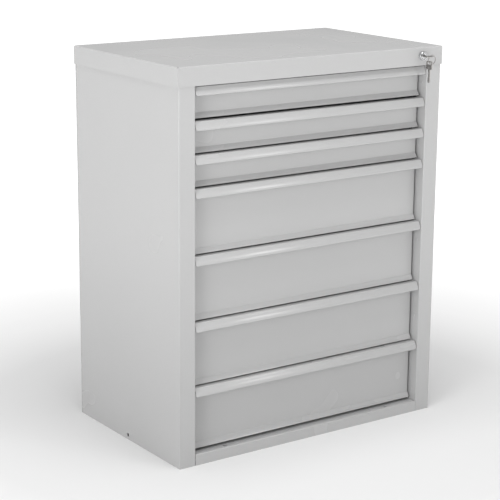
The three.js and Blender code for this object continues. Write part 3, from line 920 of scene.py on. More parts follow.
@dataclass
class Workshop:
    """Turns meshes into finished pieces on their bodies."""

    finishes: Finishes
    places: Places

    def piece(
        self,
        name: str,
        mesh: bmesh.types.BMesh,
        slot: Slot,
        body: str,
        replaces: Sequence[str] = (),
        edge: float = 0.25 * MM,
    ) -> bpy.types.Object:
        """Finishes one piece.

        Args:
            name: the piece's name.
            mesh: closed mesh in place; it is used up.
            slot: material slot that gives its finish.
            body: body that it rides on.
            replaces: frame nodes that it stands for.
            edge: size of the rounding on its sharp edges.

        Returns:
            The finished object.
        """
        data = bpy.data.meshes.new(name)
        mesh.to_mesh(data)
        mesh.free()
        obj = bpy.data.objects.new(name, data)
        bpy.context.scene.collection.objects.link(obj)
        if edge > 0:
            bevel = obj.modifiers.new("edges", "BEVEL")
            bevel.width = edge
            bevel.segments = 2
            bevel.limit_method = "ANGLE"
            bevel.angle_limit = BEVEL_ANGLE
            bevel.use_clamp_overlap = True
            obj.data = evaluated_mesh(obj)
            obj.modifiers.clear()
            bpy.data.meshes.remove(data)
            obj.data.name = name
        self.dress(obj, slot)
        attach(obj, body)
        if replaces:
            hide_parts(*replaces)
        LOG.info("built %s with %d faces on %s", name, len(obj.data.polygons), body)
        return obj

    def dress(self, obj: bpy.types.Object, slot: Slot) -> None:
        """Shades a new piece smooth between its sharp edges and gives it its finish."""
        data = obj.data
        data.shade_smooth()
        data.set_sharp_from_angle(angle=SHARP_ANGLE)
        for face in data.polygons:
            corners = [data.vertices[index].co for index in face.vertices]
            longest = max((a - b).length for a, b in zip(corners, corners[1:] + corners[:1]))
            if face.area > FLAT_WIDTH * longest:
                face.use_smooth = False
        data.materials.clear()
        data.materials.append(self.finishes.by_slot[slot])


# ------------------------------------------------------------------ fasteners


class FastenerKind(Enum):
    """Heads that hold the cabinet together."""

    PAINTED_RIVET = "painted_rivets"
    BLIND_RIVET = "blind_rivets"
    HEX_SCREW = "hex_screws"


@dataclass(frozen=True)
class FastenerSet:
    """Heads of one kind on one body.

    Each place is a point on the sheet and the direction that the head faces.
    """

    kind: FastenerKind
    body: str
    places: Sequence[tuple[Vector, Vector]]
    radius: float
    height: float
    slot: Slot


class FastenerTree:
    """Geometry Nodes tree that sets a head on every point."""

    SEED = 7

    def __init__(self, kind: FastenerKind) -> None:
        """Builds the tree for one kind of head."""
        self.kind = kind
        tree = bpy.data.node_groups.new(f"set_{kind.value}", "GeometryNodeTree")
        self.tree = tree
        sockets = (
            ("Points", "NodeSocketGeometry", None),
            ("Head Radius", "NodeSocketFloat", 3 * MM),
            ("Head Height", "NodeSocketFloat", 1 * MM),
            ("Turn Seed", "NodeSocketInt", self.SEED),
            ("Finish", "NodeSocketMaterial", None),
        )
        self.identifiers = {}
        for label, socket_kind, default in sockets:
            socket = tree.interface.new_socket(label, in_out="INPUT", socket_type=socket_kind)
            if default is not None:
                socket.default_value = default
            self.identifiers[label] = socket.identifier
        tree.interface.new_socket("Heads", in_out="OUTPUT", socket_type="NodeSocketGeometry")
        self.bench = Bench(tree)
        entry = self.bench.add("NodeGroupInput")
        self.given = {socket.name: socket for socket in entry.outputs if socket.name}
        self._finish(self._head())

    def _scaled(
        self, shape: bpy.types.NodeSocket, radius: float, height: float, lift: float
    ) -> bpy.types.NodeSocket:
        """A unit shape sized by the head's radius and height and lifted off the sheet."""
        bench = self.bench
        wide = bench.math("MULTIPLY", self.given["Head Radius"], radius)
        tall = bench.math("MULTIPLY", self.given["Head Height"], height)
        rise = bench.math("MULTIPLY", self.given["Head Height"], lift)
        size = bench.add("ShaderNodeCombineXYZ", {"X": wide, "Y": wide, "Z": tall})
        shift = bench.add("ShaderNodeCombineXYZ", {"Z": rise})
        moved = bench.add(
            "GeometryNodeTransform",
            {"Geometry": shape, "Scale": size.outputs[0], "Translation": shift.outputs[0]},
        )
        return moved.outputs[0]

    def _head(self) -> bpy.types.NodeSocket:
        """The head's shells, standing on the sheet at Z zero."""
        bench = self.bench
        dome = bench.add("GeometryNodeMeshUVSphere", {"Segments": 20, "Rings": 10, "Radius": 1.0})
        disc = bench.add("GeometryNodeMeshCylinder", {"Vertices": 24, "Radius": 1.0, "Depth": 1.0})
        hexagon = bench.add("GeometryNodeMeshCylinder", {"Vertices": 6, "Radius": 1.0, "Depth": 1.0})
        if self.kind is FastenerKind.PAINTED_RIVET:
            parts = [self._scaled(dome.outputs["Mesh"], 1.0, 1.0, 0.0)]
        elif self.kind is FastenerKind.BLIND_RIVET:
            parts = [
                self._scaled(dome.outputs["Mesh"], 0.94, 0.95, 0.0),
                self._scaled(disc.outputs["Mesh"], 1.0, 0.5, 0.05),
                self._scaled(disc.outputs["Mesh"], 0.3, 0.5, 0.8),
            ]
        else:
            parts = [
                self._scaled(disc.outputs["Mesh"], 1.0, 0.4, 0.1),
                self._scaled(hexagon.outputs["Mesh"], 0.82, 0.8, 0.6),
            ]
        joined = bench.add("GeometryNodeJoinGeometry")
        for part in parts:
            bench.tree.links.new(part, joined.inputs[0])
        return joined.outputs[0]

    def _finish(self, head: bpy.types.NodeSocket) -> None:
        """Sets the head on the points, turned at random, and gives it its finish."""
        bench = self.bench
        facing = bench.add("GeometryNodeInputNamedAttribute", {"Name": "facing"}, data_type="FLOAT_VECTOR")
        aligned = bench.add(
            "FunctionNodeAlignRotationToVector", {"Vector": facing.outputs["Attribute"]}, axis="Z"
        )
        angle = bench.add("FunctionNodeRandomValue", {"Seed": self.given["Turn Seed"]}, data_type="FLOAT")
        spans = [s for s in angle.inputs if s.type == "VALUE"]
        spans[0].default_value, spans[1].default_value = 0.0, 2 * math.pi
        turned_by = next(s for s in angle.outputs if s.type == "VALUE" and s.enabled)
        spin = bench.add("FunctionNodeAxisAngleToRotation", {"Axis": (0.0, 0.0, 1.0), "Angle": turned_by})
        rotation = bench.add(
            "FunctionNodeRotateRotation",
            {"Rotation": aligned.outputs[0], "Rotate By": spin.outputs[0]},
            rotation_space="LOCAL",
        )
        placed = bench.add(
            "GeometryNodeInstanceOnPoints",
            {"Points": self.given["Points"], "Instance": head, "Rotation": rotation.outputs[0]},
        )
        real = bench.add("GeometryNodeRealizeInstances", {"Geometry": placed.outputs[0]})
        dressed = bench.add(
            "GeometryNodeSetMaterial", {"Geometry": real.outputs[0], "Material": self.given["Finish"]}
        )
        bench.add("NodeGroupOutput", {"Heads": dressed.outputs[0]})

    def build(self, shop: Workshop, wanted: FastenerSet) -> bpy.types.Object:
        """Builds the heads of one set as a plain piece.

        Args:
            shop: the workshop that finishes pieces.
            wanted: the set to build.

        Returns:
            The finished object.
        """
        name = f"{wanted.body}_{self.kind.value}"
        points = bpy.data.meshes.new(name)
        points.from_pydata([tuple(point) for point, _ in wanted.places], [], [])
        facing = points.attributes.new("facing", "FLOAT_VECTOR", "POINT")
        facing.data.foreach_set("vector", [c for _, way in wanted.places for c in way])
        obj = bpy.data.objects.new(name, points)
        modifier = obj.modifiers.new("heads", "NODES")
        modifier.node_group = self.tree
        modifier[self.identifiers["Head Radius"]] = wanted.radius
        modifier[self.identifiers["Head Height"]] = wanted.height
        modifier[self.identifiers["Turn Seed"]] = self.SEED
        modifier[self.identifiers["Finish"]] = shop.finishes.by_slot[wanted.slot]
        bpy.context.scene.collection.objects.link(obj)
        obj.data = evaluated_mesh(obj)
        obj.modifiers.clear()
        bpy.data.meshes.remove(points)
        obj.data.name = name
        shop.dress(obj, wanted.slot)
        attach(obj, wanted.body)
        LOG.info("set %d heads as %s", len(wanted.places), name)
        return obj


# ------------------------------------------------------------------ carcass


@dataclass
class Carcass:
    """Side panels, base, back and lid, with the uprights that carry the slides."""

    shop: Workshop
    post_return: float = 34 * MM
    rear_flange: float = 20 * MM
    front_bend: float = 2.0 * MM
    inner_bend: float = 1.5 * MM
    lid_bend: float = 2.2 * MM
    lid_return: float = 14 * MM
    lid_relief: float = 1.6 * MM
    side_hole_radius: float = 4.5 * MM
    side_hole_depth: float = 228 * MM
    side_hole_height: float = 11 * MM
    hole_reach: float = 5 * MM
    relief_reach: float = 4 * MM
    return_gap: float = 0.6 * MM
    lock_hole_margin: float = 1.0 * MM
    flat_inset: float = 30 * MM
    rail_bend: float = 1.8 * MM
    rivet_depth: float = 17 * MM
    rivet_heights: tuple[float, ...] = (52 * MM, 242 * MM, 434 * MM, 624 * MM, 815 * MM)
    rivet_radius: float = 3.0 * MM
    rivet_height: float = 1.1 * MM
    back_inset: float = 9 * MM
    back_rows: int = 7
    back_row_start: float = 40 * MM
    back_row_margin: float = 90 * MM
    back_columns: int = 5
    back_column_start: float = 110 * MM
    back_sill: float = 12 * MM
    back_rivet_radius: float = 3.2 * MM
    back_rivet_height: float = 1.0 * MM

    def build(self) -> None:
        """Builds every piece of the carcass."""
        for side, name in ((-1, "left_side_panel"), (1, "right_side_panel")):
            self.side_panel(side, name)
        self.base_tray()
        self.back_panel()
        self.lid()
        for name in ("left_front", "left_rear", "right_front", "right_rear"):
            node = f"upright_{name}"
            self.shop.piece(f"{node}_channel", copy_of(node), Slot.ZINC, "cabinet", (node,))

    def side_panel(self, side: int, name: str) -> None:
        """Builds a side panel with its front post.

        Args:
            side: -1 for the left panel and 1 for the right one.
            name: the frame node that it replaces.
        """
        at = self.shop.places
        half = SHEET / 2
        inner = side * (at.opening_half + half)
        outer = side * (at.half - half)
        front = at.body_front + half
        rear = at.body_back - half
        sheet = BentSheet([
            Bend(inner, at.body_front + self.post_return),
            Bend(inner, front, self.inner_bend),
            Bend(outer, front, self.front_bend),
            Bend(outer, rear, self.inner_bend),
            Bend(side * (at.half - self.rear_flange), rear),
        ])

        def span(x: float, y: float) -> Span:
            """The fold beside the drawers stops under the lid's return."""
            folded = abs(x - inner) < 1e-5 and y > at.body_front + half + self.inner_bend - 1e-6
            return (0.0, at.lid_bottom if folded else at.body_top)

        mesh = sheet.widen(Plane.XY, span)
        hole_at = Vector((0, at.front + self.side_hole_depth, self.side_hole_height))
        ends = sorted((side * (at.half - self.hole_reach), side * (at.half + self.hole_reach)))
        hole = rod(self.side_hole_radius, ends, hole_at, 0)
        self.shop.piece(f"{name}_folded", carve(mesh, hole), Slot.PAINT, "cabinet", (name,))

    def base_tray(self) -> None:
        """Rounds the front top bend of the base and keeps its folded shape."""
        at = self.shop.places
        mesh = copy_of("base_tray")
        bends = [
            edge
            for edge in mesh.edges
            if all(
                abs(vert.co.y - at.body_front) < 1e-5 and abs(vert.co.z - at.base_top) < 1e-5
                for vert in edge.verts
            )
        ]
        bmesh.ops.bevel(mesh, geom=bends, offset=self.rail_bend, segments=5, profile=0.5, affect="EDGES")
        self.shop.piece("base_tray_folded", mesh, Slot.PAINT, "cabinet", ("base_tray",))

    def back_panel(self) -> None:
        """Builds the flat back panel."""
        low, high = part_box("back_panel")
        mesh = box_mesh((low.x, high.x), (low.y, high.y), (low.z, high.z))
        self.shop.piece("back_panel_sheet", mesh, Slot.PAINT, "cabinet", ("back_panel",))

    def lid(self) -> None:
        """Builds the lid: a folded pan with a return under its front rim and the lock hole."""
        at = self.shop.places
        half = SHEET / 2
        sheet = BentSheet([
            Bend(self.flat_inset, at.height - half),
            Bend(half, at.height - half, self.lid_bend - half),
            Bend(half, at.lid_bottom),
        ])
        pan = sheet.fold_round((-at.lid_half, at.lid_half), (at.front, at.back))
        reach = at.opening_half - self.return_gap
        fold = box_mesh(
            (-reach, reach),
            (at.front + half, at.front + self.lid_return),
            (at.lid_bottom, at.lid_bottom + SHEET),
        )
        lock_low, lock_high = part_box("lock_barrel")
        centre = (lock_low + lock_high) / 2
        hole_radius = lock_high.x - centre.x - self.lock_hole_margin
        hole = rod(hole_radius, (at.front - self.hole_reach, at.front + self.hole_reach), centre, 1, 40)
        reliefs = [
            rod(
                self.lid_relief,
                (at.height - self.relief_reach, at.height + self.relief_reach),
                Vector((side * (at.lid_half - self.lid_relief), y, 0)),
                2,
                20,
            )
            for side in SIDES
            for y in (at.front + self.lid_relief, at.back - self.lid_relief)
        ]
        mesh = carve(weld(pan, fold), hole, *reliefs)
        self.shop.piece("top_lid_folded", mesh, Slot.PAINT, "cabinet", ("top_lid",))

    def fasteners(self) -> list[FastenerSet]:
        """Rivets of the posts and of the back panel."""
        at = self.shop.places
        posts = [
            (
                Vector((side * at.opening_half, at.front + self.rivet_depth, height)),
                Vector((-side, 0, 0)),
            )
            for side in SIDES
            for height in self.rivet_heights
        ]
        low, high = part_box("back_panel")
        tall = high.z - low.z - self.back_row_margin
        wide = high.x - low.x - 2 * self.back_column_start
        rows, columns = self.back_rows, self.back_columns
        heights = [low.z + self.back_row_start + i * tall / (rows - 1) for i in range(rows)]
        widths = [low.x + self.back_column_start + i * wide / (columns - 1) for i in range(columns)]
        back_face = Vector((0, 1, 0))
        back = [
            (Vector((x, high.y, z)), back_face)
            for x in (low.x + self.back_inset, high.x - self.back_inset)
            for z in heights
        ]
        back += [(Vector((x, high.y, low.z + self.back_sill)), back_face) for x in widths]
        painted, blind = FastenerKind.PAINTED_RIVET, FastenerKind.BLIND_RIVET
        radius, height = self.back_rivet_radius, self.back_rivet_height
        return [
            FastenerSet(painted, "cabinet", posts, self.rivet_radius, self.rivet_height, Slot.PAINT),
            FastenerSet(blind, "cabinet", back, radius, height, Slot.ZINC),
        ]


# ------------------------------------------------------------------ drawers


@dataclass
class Drawer:
    """One drawer: its folded front, its tray and the inner slide members on it."""

    shop: Workshop
    number: int
    lip_height: float = 19 * MM
    lip_low_depth: float = 1.5 * MM
    lip_high_depth: float = 8 * MM
    lip_bulge: float = 1.2 * MM
    lip_top_radius: float = 3 * MM
    lip_top_reach: float = 0.6 * MM
    lip_steps: int = 8
    hem: float = 6 * MM
    hem_gap: float = 0.5 * MM
    panel_bend: float = 1.6 * MM
    flare_height: float = 12 * MM
    flare_out: float = 8 * MM
    flare_bend: float = 1.6 * MM
    corner_radius: float = 5 * MM
    panel_inset: float = 2 * MM
    tray_bend: float = 1.6 * MM
    tray_side: float = 309.5 * MM
    rim_hem: float = 7 * MM
    rim_reach: float = 1.9 * MM
    rim_bend: float = 0.9 * MM
    floor_inset: float = 30 * MM
    rail_gap: float = 0.05 * MM
    rail_drop: float = 2.5 * MM
    rail_inset: float = 2 * MM
    rail_bend: float = 1.2 * MM
    tab_depth: float = 47 * MM
    tab_foot: float = 16 * MM
    tab_rise: float = 18.5 * MM
    tab_height: float = 7.5 * MM
    tab_thickness: float = 2 * MM
    rivet_radius: float = 3.0 * MM
    rivet_height: float = 0.9 * MM
    rivet_shares: tuple[float, ...] = (0.08, 0.5, 0.92)
    wall_rivets: tuple[float, ...] = (100 * MM, 280 * MM)
    wall_rivet_rise: float = 12 * MM
    wall_rivet_drop: float = 14 * MM

    @property
    def body(self) -> str:
        """The body that the drawer's pieces ride on."""
        return f"drawer_{self.number}"

    def build(self) -> None:
        """Builds the drawer's pieces."""
        self.front()
        self.tray()
        for side in ("left", "right"):
            for member, body in (("outer", "cabinet"), ("middle", f"{self.body}_slides")):
                node = f"{self.body}_slide_{member}_{side}"
                self.shop.piece(f"{node}_rail", copy_of(node), Slot.ZINC, body, (node,), 0.2 * MM)

    def rounding(self, level: float, bottom: float) -> float:
        """How far a rounded lower corner draws the edge in at one level."""
        drop = self.corner_radius - (level - bottom)
        if drop <= 0:
            return 0.0
        drop = min(drop, self.corner_radius)
        return self.corner_radius - math.sqrt(self.corner_radius**2 - drop**2)

    def front(self) -> None:
        """Builds the front: hemmed pull lip, top fold, panel and flared foot."""
        front = self.shop.places.front
        low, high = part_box(f"{self.body}_front")
        half = SHEET / 2
        panel = high.y - half
        top = high.z - half
        lip_low = Vector((front + self.lip_low_depth + half, high.z - self.lip_height))
        lip_high = Vector((front + self.lip_high_depth + half, high.z - self.lip_top_radius))
        across = lip_high - lip_low
        outward = Vector((-across.y, across.x)).normalized()
        curve = []
        for step in range(self.lip_steps + 1):
            share = step / self.lip_steps
            bulge = outward * (4 * self.lip_bulge * share * (1 - share))
            curve.append(lip_low + across * share + bulge)
        rise = (curve[1] - curve[0]).normalized()
        inward = Vector((rise.y, -rise.x))
        turn = SHEET + self.hem_gap
        hem_end = lip_low + inward * turn + rise * self.hem
        hem_low = lip_low + inward * turn - rise * (turn / 2 - half)
        start = lip_low - rise * (turn / 2 - half)
        corners = [
            Bend(*hem_end),
            Bend(*hem_low, turn / 2 - 1e-6),
            Bend(*start, turn / 2 - 1e-6),
        ]
        corners += [Bend(*point) for point in curve[1:-1]]
        corners += [
            Bend(front + self.lip_high_depth + half + self.lip_top_reach, top, self.lip_top_radius),
            Bend(panel, top, self.panel_bend),
            Bend(panel, low.z + self.flare_height, self.flare_bend),
            Bend(panel - self.flare_out, low.z + half),
        ]
        lip_bottom = lip_low.y - half
        curve_levels = [
            self.corner_radius * (1 - math.cos(math.radians(angle))) for angle in (15, 30, 45, 60, 75, 90)
        ]
        levels = [bottom + level for bottom in (low.z, lip_bottom) for level in curve_levels]
        sheet = BentSheet(corners, levels=levels)
        lip_half = high.x

        def span(y: float, z: float) -> Span:
            """The lip is wider than the panel, and both have rounded lower corners."""
            on_panel = y > panel - self.flare_out - 1 * MM and z < top - 1 * MM
            reach = lip_half - (self.panel_inset if on_panel else 0.0)
            bottom = low.z if on_panel else lip_bottom
            reach -= self.rounding(z, bottom)
            return (-reach, reach)

        mesh = sheet.widen(Plane.YZ, span)
        self.shop.piece(f"{self.body}_front_sheet", mesh, Slot.PAINT, self.body, (f"{self.body}_front",))

    def tray(self) -> None:
        """Builds the folded tray, the inner slide members and the catch tab."""
        low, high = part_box(f"{self.body}_box")
        half = SHEET / 2
        outer = self.tray_half()
        sheet = BentSheet([
            Bend(self.floor_inset, low.z + half),
            Bend(half, low.z + half, self.tray_bend),
            Bend(half, high.z - half, self.rim_bend),
            Bend(half + self.rim_reach, high.z - half, self.rim_bend),
            Bend(half + self.rim_reach, high.z - self.rim_hem),
        ])
        mesh = sheet.fold_round((-outer, outer), (low.y, high.y))
        self.shop.piece(f"{self.body}_tray", mesh, Slot.PAINT, self.body, (f"{self.body}_box",))
        self.runners(outer)

    def tray_half(self) -> float:
        """Half the tray's width, without the slide members and the tab."""
        return min(
            abs(vert.co.x)
            for vert in frame["nodes"][f"{self.body}_box"].data.vertices
            if abs(vert.co.x) > self.tray_side
        )

    def runners(self, outer: float) -> None:
        """Builds the inner slide members and the lock's catch tab.

        Args:
            outer: half the tray's width.
        """
        middle_low, middle_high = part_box(f"{self.body}_slide_middle_right")
        rise = (middle_high.z - middle_low.z) / 2 - self.rail_drop
        centre = (middle_high.z + middle_low.z) / 2
        half = SHEET / 2
        depth = (middle_low.y, middle_high.y)
        reach = middle_high.x - self.rail_inset
        wall = outer + self.rail_gap + half
        shells = []
        for side in SIDES:
            web = side * wall
            tip = side * reach
            sheet = BentSheet([
                Bend(tip, centre - rise + half),
                Bend(web, centre - rise + half, self.rail_bend),
                Bend(web, centre + rise - half, self.rail_bend),
                Bend(tip, centre + rise - half),
            ])
            shells.append(sheet.widen(Plane.XZ, lambda x, z: depth))
        _, tab_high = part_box(f"{self.body}_box")
        tab_front = self.shop.places.front + self.tab_depth
        tab_low = centre + self.tab_rise
        hook = BentSheet([
            Bend(tab_high.x, tab_front + self.tab_thickness / 2),
            Bend(wall, tab_front + self.tab_thickness / 2, self.rail_bend),
            Bend(wall, tab_front + self.tab_foot),
        ])
        shells.append(hook.widen(Plane.XY, lambda x, y: (tab_low, tab_low + self.tab_height)))
        self.shop.piece(f"{self.body}_runners", merged(*shells), Slot.ZINC, self.body, (), 0.2 * MM)

    def fasteners(self) -> list[FastenerSet]:
        """Rivets through the tray's sides into the slides and through its front wall."""
        low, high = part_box(f"{self.body}_box")
        middle_low, middle_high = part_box(f"{self.body}_slide_middle_right")
        centre = (middle_high.z + middle_low.z) / 2
        inner = self.tray_half() - SHEET
        depths = [middle_low.y + share * (middle_high.y - middle_low.y) for share in self.rivet_shares]
        places = [
            (Vector((side * inner, depth, centre)), Vector((-side, 0, 0)))
            for side in SIDES
            for depth in depths
        ]
        wall = low.y + SHEET
        heights = (low.z + self.wall_rivet_rise, high.z - self.wall_rivet_drop)
        places += [
            (Vector((side * x, wall, height)), Vector((0, 1, 0)))
            for side in SIDES
            for x in self.wall_rivets
            for height in heights
        ]
        kind = FastenerKind.BLIND_RIVET
        return [FastenerSet(kind, self.body, places, self.rivet_radius, self.rivet_height, Slot.ZINC)]


# ------------------------------------------------------------------ lock and keys


@dataclass
class LockSet:
    """Cylinder lock, its cam and nut, and the bar that it drops."""

    shop: Workshop
    lip: float = 1.2 * MM

    def build(self) -> None:
        """Builds the lock's pieces."""
        self.barrel()
        for node, slot, body in (
            ("lock_cylinder", Slot.CHROME, "lock_cylinder"),
            ("lock_cam", Slot.ZINC, "lock_cylinder"),
            ("lock_nut", Slot.ZINC, "cabinet"),
            ("lock_bar", Slot.ZINC, "lock_bar"),
            ("lock_bar_guide_lower", Slot.ZINC, "cabinet"),
            ("lock_bar_guide_upper", Slot.ZINC, "cabinet"),
        ):
            self.shop.piece(f"{node}_finished", copy_of(node), slot, body, (node,), 0.2 * MM)

    def barrel(self) -> None:
        """Turns the barrel with a rounded, stepped head."""
        low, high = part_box("lock_barrel")
        at = self.shop.places
        centre = Vector(((low.x + high.x) / 2, low.y, (low.z + high.z) / 2))
        head = high.x - centre.x
        shank = head - 1.3 * MM
        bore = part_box("lock_cylinder")[1].x - centre.x + 0.3 * MM
        back = high.y - low.y
        seat = at.front - low.y - 0.3 * MM
        profile = [(bore, 0.9 * MM), (bore + 0.5 * MM, 0.3 * MM), (bore + 0.9 * MM, 0.0)]
        profile += [(head - self.lip, 0.0)]
        for step in range(1, 6):
            angle = math.pi / 2 * step / 5
            profile.append((head - self.lip + self.lip * math.sin(angle), self.lip * (1 - math.cos(angle))))
        profile += [
            (head, seat - 1.6 * MM),
            (head - 0.5 * MM, seat - 1.3 * MM),
            (head - 0.5 * MM, seat - 0.9 * MM),
            (head, seat - 0.6 * MM),
            (head, seat),
            (shank, seat),
            (shank, back),
            (bore, back),
        ]
        mesh = turned(profile, centre, 48)
        self.shop.piece("lock_barrel_turned", mesh, Slot.CHROME, "cabinet", ("lock_barrel",), 0.0)

    def fasteners(self) -> list[FastenerSet]:
        """The screw that holds the cam on the cylinder."""
        low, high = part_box("lock_cylinder")
        centre = (low + high) / 2
        face = Vector((centre.x, high.y + 2.3 * MM, centre.z))
        place = [(face, Vector((0, 1, 0)))]
        return [FastenerSet(FastenerKind.HEX_SCREW, "lock_cylinder", place, 2.7 * MM, 1.0 * MM, Slot.ZINC)]


@dataclass
class KeySet:
    """The key in the lock, the split ring on its bow and the spare key on the ring."""

    shop: Workshop
    thickness: float = 2.2 * MM
    bow: float = 20 * MM
    bow_radius: float = 4 * MM
    bow_bar: float = 3.5 * MM
    slot_length: float = 4.5 * MM
    blade: float = 7 * MM
    blade_length: float = 31 * MM
    spare_shift: float = -7.8 * MM

    def outline(self, length: float) -> list[Point2]:
        """Outline of a key, bow end at zero and blade towards the second direction.

        Args:
            length: length of the blade past the bow.

        Returns:
            Corners in order.
        """
        half, blade, radius = self.bow / 2, self.blade / 2, self.bow_radius
        points = [
            point
            for point in rounded_outline(self.bow, self.bow, radius)
            if point[1] < half - radius - 1e-6 or abs(point[0]) >= half - radius - 1e-6
        ]
        points = [(u, v + half) for u, v in points]
        right = [p for p in points if p[0] > 0]
        left = [p for p in points if p[0] < 0]
        right.sort(key=lambda p: (p[1], -p[0]) if p[1] > half else (p[1], p[0]))
        left.sort(key=lambda p: (-p[1], p[0]) if p[1] <= half else (-p[1], -p[0]))
        end = self.bow + length
        cuts = ((6.5, 1.0), (9.5, 1.9), (12.5, 0.8), (15.5, 1.5), (18.5, 0.6))
        blade_right = [(blade, self.bow)]
        for depth, bite in cuts:
            y = self.bow + depth * MM
            if y + 1.2 * MM > end - 3 * MM:
                break
            blade_right += [
                (blade, y - 1.3 * MM),
                (blade - bite * MM, y - 0.4 * MM),
                (blade - bite * MM, y + 0.4 * MM),
                (blade, y + 1.3 * MM),
            ]
        blade_right += [(blade, end - 2.2 * MM), (blade * 0.35, end)]
        blade_left = [(-blade * 0.35, end), (-blade, end - 2.2 * MM), (-blade, self.bow)]
        return right + blade_right + blade_left + left

    def bow_slot(self) -> list[Point2]:
        """Outline of the slot in the bow."""
        shape = rounded_outline(self.bow - 2 * self.bow_bar, self.slot_length, 1.0 * MM, 4)
        return [(u, v + self.bow_bar + self.slot_length / 2) for u, v in shape]

    def build(self) -> None:
        """Builds both keys and the ring."""
        low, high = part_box("lock_key")
        centre_x, centre_z = (low.x + high.x) / 2, (low.z + high.z) / 2
        half = self.thickness / 2
        length = high.y - low.y - self.bow
        outline = [(centre_x + u, low.y + v) for u, v in self.outline(length)]
        slot = [(centre_x + u, low.y + v) for u, v in self.bow_slot()]
        mesh = plate(outline, [slot], Plane.XY, (centre_z - half, centre_z + half))
        self.shop.piece("lock_key_cut", mesh, Slot.NICKEL, "lock_key", ("lock_key",), 0.3 * MM)
        self.ring()
        self.spare()

    def ring(self) -> None:
        """Winds the split ring: two flat turns side by side with a stepped joint."""
        low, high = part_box("key_ring")
        centre = (low + high) / 2
        outer = (high.x - low.x) / 2
        wire = (0.8 * MM, 0.47 * MM)
        radius = outer - wire[0]
        steps, sides = 96, 8
        mesh = bmesh.new()
        loops = []
        for step in range(2 * steps + 1):
            angle = 2 * math.pi * step / steps + 0.6
            share = step / (2 * steps)
            lean = min(1.0, max(0.0, (share - 0.45) / 0.1))
            offset = (lean - 0.5) * 2 * (wire[1] + 0.02 * MM)
            loop = []
            for corner in range(sides):
                turn = 2 * math.pi * (corner + 0.5) / sides
                reach = radius + wire[0] * math.cos(turn)
                across = offset + wire[1] * math.sin(turn)
                place = Vector((reach * math.cos(angle), across, reach * math.sin(angle)))
                loop.append(mesh.verts.new(centre + place))
            loops.append(loop)
        for here, after in zip(loops, loops[1:]):
            bridge(mesh, here, after)
        mesh.faces.new(loops[0])
        mesh.faces.new(loops[-1])
        bmesh.ops.recalc_face_normals(mesh, faces=mesh.faces)
        self.shop.piece("key_ring_wound", mesh, Slot.NICKEL, "key_ring", ("key_ring",), 0.0)

    def spare(self) -> None:
        """Hangs the spare key from the lower left of the ring, its slot over the wire."""
        low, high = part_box("key_ring")
        centre = (low + high) / 2
        inner = (high.x - low.x) / 2 - 1.6 * MM
        x = centre.x + self.spare_shift
        wire_top = centre.z - math.sqrt(inner**2 - self.spare_shift**2)
        top = wire_top + self.bow_bar + 0.1 * MM
        half = self.thickness / 2
        outline = [(centre.y + u, top - v) for u, v in self.outline(self.blade_length)]
        slot = [(centre.y + u, top - v) for u, v in self.bow_slot()]
        mesh = plate(outline, [slot], Plane.YZ, (x - half, x + half))
        self.shop.piece("spare_key", mesh, Slot.NICKEL, "key_ring", (), 0.3 * MM)


# ------------------------------------------------------------------ studio


@dataclass(frozen=True)
class SoftLight:
    """A large soft light that looks at the cabinet."""

    name: str
    place: tuple[float, float, float]
    size: float
    power: float

    def build(self, target: Vector) -> None:
        """Adds the light, aimed at the target."""
        data = bpy.data.lights.new(self.name, "AREA")
        data.shape = "DISK"
        data.size = self.size
        data.energy = self.power
        obj = bpy.data.objects.new(self.name, data)
        obj.location = self.place
        obj.rotation_euler = (target - Vector(self.place)).to_track_quat("-Z", "Y").to_euler()
        bpy.context.scene.collection.objects.link(obj)


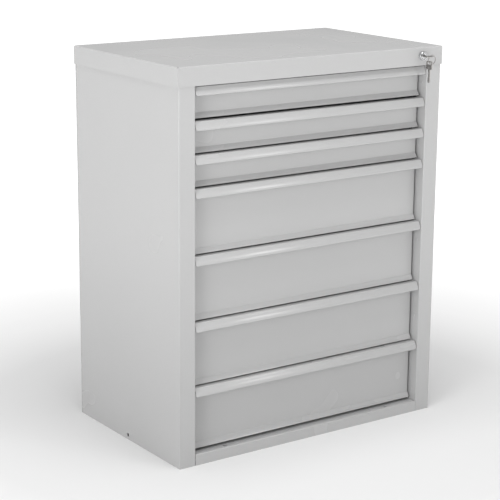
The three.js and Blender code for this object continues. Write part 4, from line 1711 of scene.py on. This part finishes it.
@dataclass
class Studio:
    """Pale floor, white surroundings, soft lights and the camera."""

    places: Places
    floor_reach: float = 60.0
    sky: float = 0.4
    lens: float = 113.6
    camera_reach: tuple[float, float, float] = (-2.126, -2.783, 1.343)
    yaw: float = 34.97
    pitch: float = -14.25
    roll: float = 0.444
    lights: tuple[SoftLight, ...] = (
        SoftLight("key_light", (-4.0, -2.0, 1.1), 1.8, 66.0),
        SoftLight("overhead_light", (-0.3, -0.6, 3.8), 2.4, 86.0),
        SoftLight("front_softbox", (1.2, -3.0, 1.5), 0.7, 13.0),
    )

    def build(self) -> None:
        """Builds the whole studio."""
        self.floor()
        self.surroundings()
        target = Vector((0, 0, self.places.height / 2))
        for light in self.lights:
            light.build(target)
        self.camera()
        bpy.context.scene.view_settings.view_transform = "Standard"

    def floor(self) -> None:
        """Lays the floor just under the cabinet."""
        mesh = bmesh.new()
        reach = self.floor_reach
        corners = [mesh.verts.new((x * reach, y * reach, 0)) for x, y in ((-1, -1), (1, -1), (1, 1), (-1, 1))]
        mesh.faces.new(corners)
        data = bpy.data.meshes.new("studio_floor")
        mesh.to_mesh(data)
        mesh.free()
        data.materials.append(StudioFloor().build())
        obj = bpy.data.objects.new("studio_floor", data)
        bpy.context.scene.collection.objects.link(obj)

    def surroundings(self) -> None:
        """Makes the world plain white."""
        world = bpy.data.worlds.new("studio")
        bpy.context.scene.world = world
        world.use_nodes = True
        bench = Bench(world.node_tree)
        seen = bench.add("ShaderNodeLightPath").outputs["Is Camera Ray"]
        strength = bench.fade(seen, 0.0, 1.0, (self.sky, 1.0))
        back = bench.add("ShaderNodeBackground", {"Color": grey(1.0), "Strength": strength})
        bench.add("ShaderNodeOutputWorld", {"Surface": back.outputs[0]})

    def camera(self) -> None:
        """Sets the camera up in front of the cabinet's left corner."""
        data = bpy.data.cameras.new("camera")
        data.lens = self.lens
        data.sensor_width = 36.0
        data.clip_end = 200.0
        obj = bpy.data.objects.new("camera", data)
        bpy.context.scene.collection.objects.link(obj)
        yaw, pitch, roll = (math.radians(a) for a in (self.yaw, self.pitch, self.roll))
        ahead = Vector((math.sin(yaw) * math.cos(pitch), math.cos(yaw) * math.cos(pitch), math.sin(pitch)))
        right = Vector((math.cos(yaw), -math.sin(yaw), 0.0))
        up = right.cross(ahead)
        right, up = right * math.cos(roll) + up * math.sin(roll), up * math.cos(roll) - right * math.sin(roll)
        turn = Matrix((right, up, -ahead)).transposed()
        reach = Vector(self.camera_reach)
        obj.matrix_world = Matrix.Translation((reach.x, self.places.front + reach.y, reach.z)) @ turn.to_4x4()
        bpy.context.scene.camera = obj


# ------------------------------------------------------------------ assembly


def main() -> None:
    """Builds the cabinet from the carcass to the keys, then the studio."""
    logging.basicConfig(level=logging.INFO, format="%(name)s: %(message)s")
    places = Places.read()
    shop = Workshop(Finishes(), places)
    carcass = Carcass(shop)
    carcass.build()
    drawers = [Drawer(shop, number) for number in drawer_numbers()]
    for drawer in drawers:
        drawer.build()
    lock = LockSet(shop)
    lock.build()
    KeySet(shop).build()
    trees = {kind: FastenerTree(kind) for kind in FastenerKind}
    for part in (carcass, *drawers, lock):
        for wanted in part.fasteners():
            trees[wanted.kind].build(shop, wanted)
    Studio(places).build()


if __name__ == "__main__":
    main()
